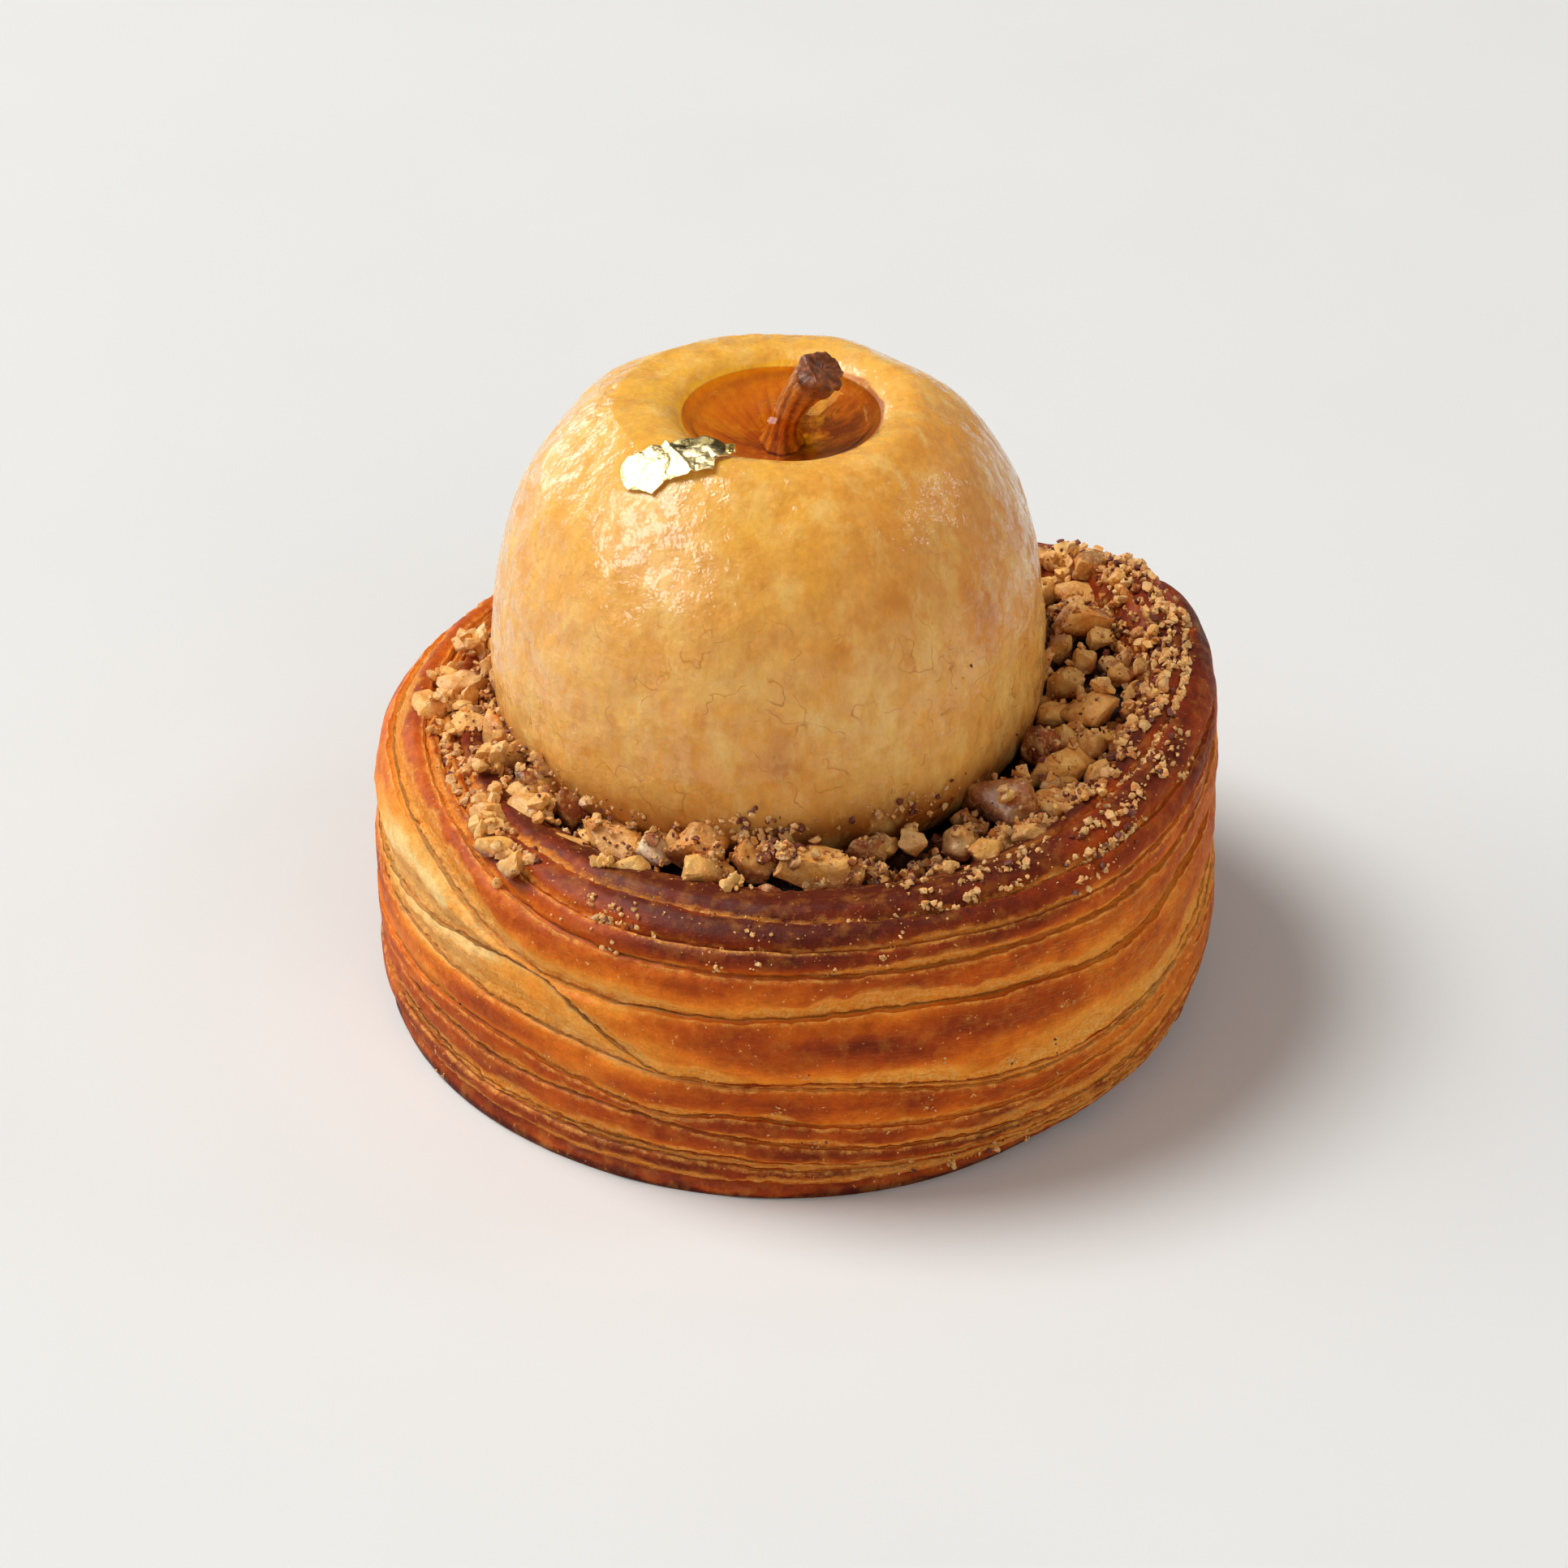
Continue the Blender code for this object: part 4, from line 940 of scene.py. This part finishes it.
def syrup(material):
    """A clear pool up to its level, climbing a little at its brim and at the stalk."""
    azimuth = np.arange(180) * 2.0
    profile = np.array(HOLLOW_PROFILE)[::-1]
    brim = float(np.interp(SYRUP_LEVEL + SYRUP_GAP, profile[:, 1], profile[:, 0])) - 0.05
    rows = [circle(azimuth, radius - 0.1, height + SYRUP_GAP, HOLLOW_X)
            for radius, height in HOLLOW_PROFILE[-2::-1] if height < SYRUP_LEVEL]
    radii = [brim - step for step in (0, 0.35, 0.8, 1.4, 2.2)]
    for radius in radii + [7.5, 6.0, 4.6, 3.6, 3.0, 2.5, 2.1]:
        climb = 0.30 * math.exp(-(brim - radius) / 0.55) + 1.1 * math.exp(-max(radius - 2.0, 0) / 0.75)
        rows.append(circle(azimuth, radius, SYRUP_LEVEL + climb, HOLLOW_X + 0.35 * smooth(4, 2, radius)))
    points, faces = closed_sheet(rows, (HOLLOW_X, 0, 71.2), (HOLLOW_X + 0.3, -0.2, SYRUP_LEVEL + 1.0))
    piece("syrup_pool", points, faces, material, nodes=("syrup",))


def stalk_axis(share):
    """A point of the bent axis and the direction there."""
    foot, middle, end = (np.array(point) for point in STALK_PATH)
    point = (1 - share) ** 2 * foot + 2 * share * (1 - share) * middle + share**2 * end
    direction = 2 * (1 - share) * (middle - foot) + 2 * share * (end - middle)
    return point, direction / np.linalg.norm(direction)


def stalk(material):
    """Ribbed and glossy, with a rough dark head and a sunken, wrinkled end."""
    sides = 72
    angle = np.arange(sides) * 2 * math.pi / sides
    rings = [(share, 1.0, 0.0) for share in np.linspace(0, 1, 60)]
    rings += [(1.0, 0.93, 0.02), (1.0, 0.82, -0.05), (1.0, 0.66, -0.30), (1.0, 0.5, -0.42),
              (1.0, 0.34, -0.36), (1.0, 0.18, -0.46), (1.0, 0.06, -0.4)]
    rows, colours = [], []
    for share, scale, sink in rings:
        point, direction = stalk_axis(share)
        side = np.cross(direction, (0, 1, 0))
        side /= np.linalg.norm(side)
        other = np.cross(direction, side)
        radius = float(np.interp(share, *np.array(STALK_RADII).T)) * scale
        head = float(smooth(0.72, 0.92, share))
        ribs = 0.030 * np.sin(9 * angle + 7 * share) + 0.020 * np.sin(23 * angle - 11 * share)
        place = circle(np.degrees(angle), 3, 18 * share + 4 * scale)
        knobs = 0.34 * head * rough(place, 1.3, 51)
        out = radius * (1 + (ribs + knobs) * min(1.0, scale + 0.3))
        spokes = np.outer(np.cos(angle), side) + np.outer(np.sin(angle), other)
        rows.append(point + sink * direction + out[:, None] * spokes)
        crease = rough(place, 0.8, 52)
        groove = 0.5 + 0.35 * np.sin(9 * angle + 7 * share) + 0.4 * crease
        body = ramp([(0, (0.26, 0.055, 0.006)), (1, (0.76, 0.27, 0.03))], groove)
        dark = ramp([(0, (0.06, 0.012, 0.004)), (1, (0.40, 0.11, 0.025))], 0.45 + 0.7 * crease)
        shade = unit(head + 0.2 * crease + 0.8 * (scale < 0.9)) * np.ones(sides)
        colours.append(mix(body, dark, shade))
    points, faces = closed_sheet(rows, rows[0].mean(axis=0), rows[-1].mean(axis=0))
    colours = np.concatenate(colours + [[(0.3, 0.1, 0.02), (0.06, 0.02, 0.01)]])
    piece("stalk_body", points, faces, material, colours, nodes=("stalk",))


def gold_leaf(material, apple_tree):
    """A crumpled flake on the shoulder. Its back edge rolls over and mirrors the dark, which its colour
    holds as a painted reflection.
    """
    columns, rows = LEAF_CELLS
    start, end = LEAF_FRONT[0][0], LEAF_FRONT[-1][0]
    x = np.repeat(np.linspace(start, end, columns), rows)
    across = np.tile(np.linspace(0, 1, rows), columns)
    front = np.interp(x, *np.array(LEAF_FRONT).T)
    back = np.interp(x, *np.array(LEAF_BACK).T)
    y = front + (back - front) * across
    flat = np.stack([x, y, 0 * x], axis=1)
    x = x + 0.16 * blobs(flat, 0.7, 61)
    y = y + 0.16 * blobs(flat, 0.7, 62)
    ground = np.array([dropped(apple_tree, *place, 100).z for place in zip(x, y)])
    crumple = sum(high * np.abs(blobs(flat, size, seed)) for high, size, seed in (
        (0.80, (3.0, 2.6, 1), 63), (0.36, (1.5, 1.2, 1), 64), (0.08, 0.6, 65)))
    fold = 0.45 * hill(x + 12.4 + 0.55 * (y + 14), 0.35)
    curl = 0.9 * smooth(0.72, 1.0, across) * smooth(-14, -9, x)
    height = ground + LEAF_LIFT + crumple + fold + curl
    # Painted reflection: the rolled back edge is darkened where it mirrors the dark.
    dark = smooth(0.66, 0.80, across) * smooth(-14.5, -11.5, x)
    # Painted shade: thin darker lines along creases.
    crease = smooth(0.09, 0.0, np.abs(blobs(flat, (1.5, 1.2, 1), 66))) * 0.85
    colour = mix(mix((0.98, 0.80, 0.42), (0.40, 0.25, 0.04), crease), (0.10, 0.075, 0.02), dark * 0.92)
    top = np.stack([x, y, height], axis=1)
    points = np.concatenate([top, top - (0, 0, LEAF_THICKNESS)])
    faces = sheet_faces(columns, rows, closed=False)
    count = len(top)
    both = np.concatenate([faces, faces[:, ::-1] + count]).tolist()
    cells = np.arange(count).reshape(columns, rows)
    edge = [*cells[0], *cells[1:, -1], *cells[-1, -2::-1], *cells[-2:0:-1, 0]]
    both += [(a, b, b + count, a + count) for a, b in zip(edge, edge[1:] + edge[:1])]
    piece("leaf", points, both, material, np.concatenate([colour, colour]),
          smooth_angle=40.0, nodes=("gold_leaf",))


# Nuts

def ball(level):
    """Points and faces of a unit ball of triangles."""
    made = bmesh.new()
    bmesh.ops.create_icosphere(made, subdivisions=level, radius=1.0)
    points = np.array([corner.co[:] for corner in made.verts])
    faces = np.array([[corner.index for corner in face.verts] for face in made.faces])
    made.free()
    return points, faces


def chip(chance, shape, kind, size, flats=13, deepest=0.40):
    """Points and tints of a broken kernel: a ball cut by random flats, some toasted or skin-on."""
    points, _ = shape
    rise = 1 - 2 * (np.arange(flats) + 0.5) / flats
    normals = circle(np.arange(flats) * GOLDEN_TURN, np.sqrt(1 - rise**2), rise)
    normals = normals + chance.normal(size=(flats, 3)) * 0.28
    normals /= np.linalg.norm(normals, axis=1)[:, None]
    reach = chance.uniform(deepest, 0.74, flats)
    chance.shuffle(reach)
    facing = points @ normals.T
    distance = np.where(facing > 0.08, reach / np.maximum(facing, 0.08), 9.0)
    distance = np.column_stack([distance, np.ones(len(points))])
    order = np.argsort(distance, axis=1)
    nearest, second = np.sort(distance, axis=1)[:, :2].T
    edge = unit(1 - (second - nearest) / EDGE_WIDTH)
    body = points * (nearest - 0.025 * edge**2)[:, None]
    seed = int(chance.integers(1000))
    grain = blobs(body, 0.45, seed)
    swell = 1 + 0.08 * blobs(body, 0.8, seed + 2) + 0.07 * grain + 0.06 * blobs(body, 0.25, seed + 1)
    body = body * swell[:, None]
    flesh, toast, skin = KERNELS[kind]
    browned = 0.4 * edge * chance.uniform(0.2, 1) + 0.5 * grain + 0.5 * blobs(body, 0.9, seed + 3)
    colour = mix(flesh, toast, unit(browned))
    outer = (order[:, 0] == 0) | ((order[:, 0] == 1) & (kind == "skin"))
    if kind in ("skin", "toasted", "husk") or chance.random() < 0.1:
        colour = mix(colour, skin, 0.9 * outer)
    return body * (0.76 * np.asarray(size)), colour * chance.uniform(0.88, 1.05)


def soaked_and_shaded(points, colour):
    """Tints that darken to red-brown towards a nut's foot, from syrup soak and painted shade."""
    low, high = points[:, 2].min(), points[:, 2].max()
    dry_and_lit = smooth(0.20, 0.80, (points[:, 2] - low) / (high - low))
    return colour * mix((0.26, 0.08, 0.04), np.ones(3), dry_and_lit)


def shard(chance, shape, kind, size):
    """A crumb: a few corners pulled in and out."""
    points, _ = shape
    body = points * chance.uniform(0.35, 1.0, (len(points), 1)) * chance.uniform(0.5, 1.0, 3)
    flesh, toast, _ = KERNELS[kind]
    colour = mix(flesh, toast, chance.uniform(0, 1, len(points)) ** 2)
    return body * (0.75 * size), colour * chance.uniform(0.75, 1.08)


def turned(points, chance, spin=None, tip=0.35):
    """The points turned about z by spin, after tipping a little."""
    spin = chance.uniform(0, 2 * math.pi) if spin is None else spin
    a, b = chance.normal(size=2) * tip
    return points @ np.array(Euler((a, b, spin)).to_matrix()).T


def joined(parts, shape):
    """One mesh of many parts that share their faces: parts are (points, tints)."""
    count = len(shape[0])
    points = np.concatenate([part[0] for part in parts])
    colours = np.concatenate([part[1] for part in parts])
    faces = np.concatenate([shape[1] + i * count for i in range(len(parts))])
    return points, faces, colours


def recess_radius(azimuth, height):
    lip_radius, lip_height = case_profile(azimuth, around(RIM_GROOVES[-1], azimuth))
    inwards, down = RECESS_LIP
    share = (height - RECESS_FLOOR) / (lip_height - down - RECESS_FLOOR)
    return RECESS_FLOOR_RADIUS + (lip_radius - inwards - RECESS_FLOOR_RADIUS) * unit(share)


def heap_span(azimuth):
    """Radius and height of the heap's surface at the apple and at the case."""
    at_apple = around(HEAP_AT_APPLE, azimuth)
    at_case = around(RIM_HEIGHT, azimuth) - HEAP_BELOW_RIM
    inner = apple_radius(at_apple) + APPLE_X * np.cos(np.radians(azimuth)) + BED_GAP
    outer = np.maximum(inner + 1, recess_radius(azimuth, at_case) - BED_GAP)
    return inner, outer, at_apple, at_case


def heap_place(azimuth, radius):
    inner, outer, at_apple, at_case = (float(value) for value in heap_span(azimuth))
    share = min(1.0, max(0.0, (radius - inner) / (outer - inner)))
    return at_apple + (at_case - at_apple) * share


def rim_level(azimuth, radius):
    """How high the rim lies at a radius, or 0 inside it."""
    if radius <= float(heap_span(azimuth)[1]):
        return 0.0
    top = float(around(RIM_HEIGHT, azimuth))
    inwards = float(wall_radius(azimuth, top)) - radius
    return top - RIM_FALL * max(inwards - SHOULDER_RADIUS, 0) - 0.4


def heap_bed(material):
    """The bed of crumbs that the nuts lie in: dark crumbs, darkened to near black by painted shade, most
    in its hollows.
    """
    columns, across = 540, 24
    azimuth = np.arange(columns) * 360.0 / columns
    inner, outer, at_apple, at_case = heap_span(azimuth)
    foot = at_apple - BED_SKIRTS[0]
    rows = [circle(azimuth, apple_radius(foot) + BED_GAP, foot, APPLE_X)]
    for share in np.linspace(0, 1, across):
        sunk = 1.3 + 1.6 * hill(turn_gap(azimuth, 290), 60) * (1 - share) ** 2
        height = at_apple + (at_case - at_apple) * share - sunk
        rows.append(circle(azimuth, inner + (outer - inner) * share, height))
    rows.append(circle(azimuth, outer, at_case - BED_SKIRTS[1]))
    rows.append(circle(azimuth, RECESS_FLOOR_RADIUS - 1, RECESS_FLOOR + BED_GAP))
    rows.append(circle(azimuth, BED_HOLE, RECESS_FLOOR + BED_GAP, APPLE_X))
    points = np.concatenate(rows)
    raised = np.zeros(len(points))
    raised[columns:columns * (across + 1)] = 1
    lumps = 0.8 * rough(points, 2.2, 71) + 0.35 * rough(points, 0.9, 72)
    points[:, 2] += lumps * raised
    # Painted shade: the colour is near black, darkest in the hollows between the lumps.
    colour = ramp([(0, (0.02, 0.004, 0.002)), (0.5, (0.07, 0.014, 0.004)), (1, (0.32, 0.10, 0.02))],
                  0.12 + 0.6 * lumps + 0.35 * rough(points, 0.7, 73))
    faces = sheet_faces(len(rows) + 1, columns) % len(points)
    piece("nut_bed", points, faces, material, colour, nodes=("nuts",))
    return points, faces


def kernels(chance, material):
    """The nuts that can be told apart, at the solids' places and sizes, with smaller ones between."""
    shape = ball(4)
    parts = []
    for azimuth, radius, length, width, height, turn, kind in LARGE_NUTS:
        points, colour = chip(chance, shape, kind, (length, width, height), 11, 0.45)
        points = turned(points, chance, math.radians(turn), 0.12)
        level = max(heap_place(azimuth, radius), rim_level(azimuth, radius))
        middle = circle(azimuth, radius, level + 0.27 * height)
        parts.append((points + middle, soaked_and_shaded(points, colour)))
    kinds = ["pale", "pale", "toasted", "skin", "pale", "golden"]
    for k in range(SMALL_NUTS):
        azimuth = 360 * (k + chance.uniform(0.1, 0.9)) / SMALL_NUTS
        inner, outer, _, _ = (float(value) for value in heap_span(azimuth))
        radius = inner + (outer - inner) * ((k * 0.38) % 1.0) + chance.uniform(-0.4, 0.4)
        size = chance.uniform(2.2, 4.0, 3)
        points, colour = chip(chance, shape, kinds[int(chance.integers(len(kinds)))], size)
        points = turned(points, chance)
        middle = circle(azimuth, radius, heap_place(azimuth, radius) + 0.1 * size[2])
        parts.append((points + middle, soaked_and_shaded(points, colour)))
    points, faces, colours = joined(parts, shape)
    piece("kernels", points, faces, material, colours, smooth_angle=32.0)
    return points, faces


def heap_spots(chance, count, spread):
    """Azimuths and radii over the heap, some of them spilling out over the rim."""
    azimuth = chance.uniform(0, 360, count)
    inner, outer, _, _ = heap_span(azimuth)
    spill = 0.6 + sum(far * hill(turn_gap(azimuth, middle), wide) for middle, wide, far in SPILLS)
    share = chance.uniform(0, 1, count)
    reach = outer - inner + spread * spill * chance.uniform(0, 1, count) ** 1.3
    return azimuth, inner - 0.2 + reach * share**0.8


def landing(ground, azimuth, radius):
    """Where something dropped at a place comes to rest."""
    hit = dropped(ground, *circle(azimuth, radius, DROP_HEIGHT))
    return hit if hit is not None and hit.z > LOWEST else None


def bits(chance, ground, clear, shape):
    """The bits between the kernels. Few of them lie on a kernel: clear is a tree of those."""
    parts = []
    kinds = ["pale", "crumb", "toasted", "skin", "pale", "golden", "dark"]
    places = heap_spots(chance, BITS, 0.8)
    for azimuth, radius, size in zip(*places, 1.0 + 1.7 * chance.uniform(0, 1, BITS) ** 1.6):
        hit = landing(ground, azimuth, radius)
        if hit is None or (clear.find_nearest(hit)[3] < TOUCH and chance.random() < 0.9):
            continue
        if sparse(azimuth, radius) > 1.2 * chance.random():
            continue
        kind = kinds[int(chance.integers(7))]
        points, colour = chip(chance, shape, kind, size * chance.uniform(0.6, 1.2, 3), 9)
        points = turned(points, chance, tip=0.8)
        parts.append((points + np.array(hit) + (0, 0, 0.22 * size), soaked_and_shaded(points, colour)))
    return parts


def clumps(chance, ground, shape):
    """Heaped pale bits, of which some lie on the rim."""
    parts = []
    kinds = ["pale", "pale", "crumb", "golden"]
    for azimuth, radius, spread, count, largest in CLUMPS:
        middle = circle(azimuth, radius, 0.0)
        for _ in range(count):
            hit = dropped(ground, *(middle[:2] + chance.normal(size=2) * 0.5 * spread), DROP_HEIGHT)
            size = largest * chance.uniform(0.4, 1)
            kind = kinds[int(chance.integers(4))]
            points, colour = chip(chance, shape, kind, size * chance.uniform(0.6, 1.3, 3), 9)
            lift = chance.uniform(0.2, 0.9) * size
            if hit is not None and hit.z < HIGHEST:
                parts.append((turned(points, chance, tip=0.8) + np.array(hit) + (0, 0, lift), colour))
    return parts


def sparse(azimuth, radius):
    """The share of crumbs that are missing: in front beside the apple, and on the left."""
    beside = hill(radius - float(heap_span(azimuth)[0]), 2.2)
    return 1.1 * beside * hill(turn_gap(azimuth, 292), 50) + 0.7 * hill(turn_gap(azimuth, 195), 40)


def heap_crumbs(chance, ground, clear, shape):
    """Fine crumbs, in clusters and mostly beside the kernels."""
    parts = []
    kinds = ["crumb", "crumb", "crumb", "pale", "brown", "crumb", "brown", "dark"]
    places = heap_spots(chance, HEAP_CRUMBS, 1.0)
    for azimuth, radius, size in zip(*places, 0.4 + 1.1 * chance.uniform(0, 1, HEAP_CRUMBS) ** 2):
        hit = landing(ground, azimuth, radius)
        if hit is None or blobs([hit], 3.4, 81)[0] < chance.uniform(-0.8, 0.3):
            continue
        if clear.find_nearest(hit)[3] < TOUCH and chance.random() < (0.45 if size < 0.7 else 0.95):
            continue
        if sparse(azimuth, radius) > chance.random():
            continue
        points, colour = shard(chance, shape, kinds[int(chance.integers(8))], size)
        lit = smooth(-1.6, 0.2, hit.z - heap_place(azimuth, radius))
        points = turned(points, chance, tip=1.0) + np.array(hit) + (0, 0, 0.2 * size)
        parts.append((points, colour * mix((0.35, 0.18, 0.12), np.ones(3), lit)))
    return parts


def crust_crumbs(chance, shape, crust):
    """Crumbs caught in the grooves of the rim and stuck to the wall, in clumps."""
    parts = []
    for middle, inwards, wide, deep, count, largest in CRUST_CRUMBS:
        left = count
        while left > 0:
            clump = min(left, int(chance.geometric(0.22)))
            left -= clump
            turns = chance.normal() * wide * 0.5 + middle + chance.normal(size=clump) * 0.7
            depths = chance.normal() * deep * 0.5 + inwards + chance.normal(size=clump) * 0.5
            places = circle(turns, *case_profile(turns, depths))
            parts += stuck(chance, shape, crust, places, largest, 0.12)
    return parts


def stuck(chance, shape, ground, places, largest, dark):
    """Crumbs stuck to the nearest places of a surface, a share of them dark."""
    parts = []
    for place in places:
        hit, normal, _, _ = ground.find_nearest(Vector(place))
        size = max(0.28, largest * chance.uniform(0.2, 1) ** 1.7)
        if hit is None or hit.z < 0.6:
            continue
        points, colour = shard(chance, shape, "dark" if chance.random() < dark else "crumb", size)
        lift = chance.uniform(0.1, 0.5) * size
        parts.append((turned(points, chance, tip=1.0) + np.array(hit + normal * lift), colour))
    return parts


def apple_crumbs(chance, shape, flesh):
    """Crumbs stuck to the glaze, low on the apple."""
    parts = []
    for middle, level, wide, tall, count, largest in APPLE_CRUMBS:
        turns = chance.normal(size=count) * wide * 0.5 + middle
        levels = chance.normal(size=count) * tall * 0.5 + level
        places = circle(turns, apple_radius(levels), levels, APPLE_X)
        parts += stuck(chance, shape, flesh, places, largest, 0.3)
    return parts


def nuts(crust, flesh):
    """The heap in layers: its bed, the kernels, the bits between them and the crumbs over all."""
    chance = np.random.default_rng(SEED)
    kernel_look = nut_material("kernel", 0.7, 0.18, 0.35, 0.12)
    bed = heap_bed(nut_material("bed", 0.6, 0.1))
    big = kernels(chance, kernel_look)
    clear, under = tree_of(big), [bed, big, *crust]
    shape = ball(2)
    parts = bits(chance, tree_of(*under), clear, shape)
    parts += bits(chance, tree_of(*under, joined(parts, shape)[:2]), clear, shape)
    parts += clumps(chance, tree_of(*under), shape)
    points, faces, colours = joined(parts, shape)
    piece("nut_bits", points, faces, kernel_look, colours, smooth_angle=30.0)
    under.append((points, faces))
    shape = ball(1)
    crumbs = heap_crumbs(chance, tree_of(*under), clear, shape)
    crumbs += heap_crumbs(chance, tree_of(*under, joined(crumbs, shape)[:2]), clear, shape)
    crumbs += crust_crumbs(chance, shape, tree_of(*crust))
    crumbs += apple_crumbs(chance, shape, flesh)
    points, faces, colours = joined(crumbs, shape)
    look = nut_material("crumb", 0.5, 0.05)
    piece("nut_crumbs", points, faces, look, colours, smooth_angle=25.0)


# Stage

def stage():
    floor = bpy.data.meshes.new("floor")
    corners = [(x * FLOOR_REACH, y * FLOOR_REACH, 0) for x, y in ((-1, -1), (1, -1), (1, 1), (-1, 1))]
    floor.from_pydata(corners, [], [(0, 1, 2, 3)])
    floor.materials.append(floor_material())
    ground = bpy.data.objects.new("floor", floor)
    bpy.context.scene.collection.objects.link(ground)
    world = bpy.data.worlds.new("studio")
    world.use_nodes = True
    wire(world.node_tree.nodes["Background"], Color=WORLD_COLOUR, Strength=WORLD_STRENGTH)
    bpy.context.scene.world = world
    for light in LIGHTS:
        soft_light(*light)


def soft_light(name, azimuth, elevation, distance, size, strength, lit, mirrored):
    lamp = bpy.data.lights.new(name, "AREA")
    lamp.shape = "DISK"
    lamp.size = size
    lamp.energy = strength * (math.pi * distance) ** 2
    lamp.color = LIGHT_COLOUR
    made = bpy.data.objects.new(name, lamp)
    rise = math.radians(elevation)
    made.location = circle(azimuth, distance * math.cos(rise), distance * math.sin(rise) + AIM_HEIGHT)
    made.visible_diffuse = lit
    made.visible_glossy = mirrored
    aim = Vector((0, 0, AIM_HEIGHT)) - made.location
    made.rotation_euler = aim.to_track_quat("-Z", "Y").to_euler()
    bpy.context.scene.collection.objects.link(made)


def camera():
    lens = bpy.data.cameras.new("camera")
    lens.lens = LENS
    lens.sensor_width = 36.0
    lens.clip_start = 0.01
    made = bpy.data.objects.new("camera", lens)
    made.location = np.array(CAMERA_PLACE) * METRES
    made.rotation_euler = (math.radians(CAMERA_TILT), 0, 0)
    bpy.context.scene.collection.objects.link(made)
    bpy.context.scene.camera = made


def main():
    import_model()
    bpy.context.scene.view_settings.view_transform = "Standard"
    camera()
    stage()
    crust = pastry_case(crust_material())
    flesh = apple(flesh_material())
    flesh_tree = tree_of(flesh)
    syrup(syrup_material())
    stalk(stalk_material())
    gold_leaf(leaf_material(), flesh_tree)
    nuts(crust, flesh_tree)


main()
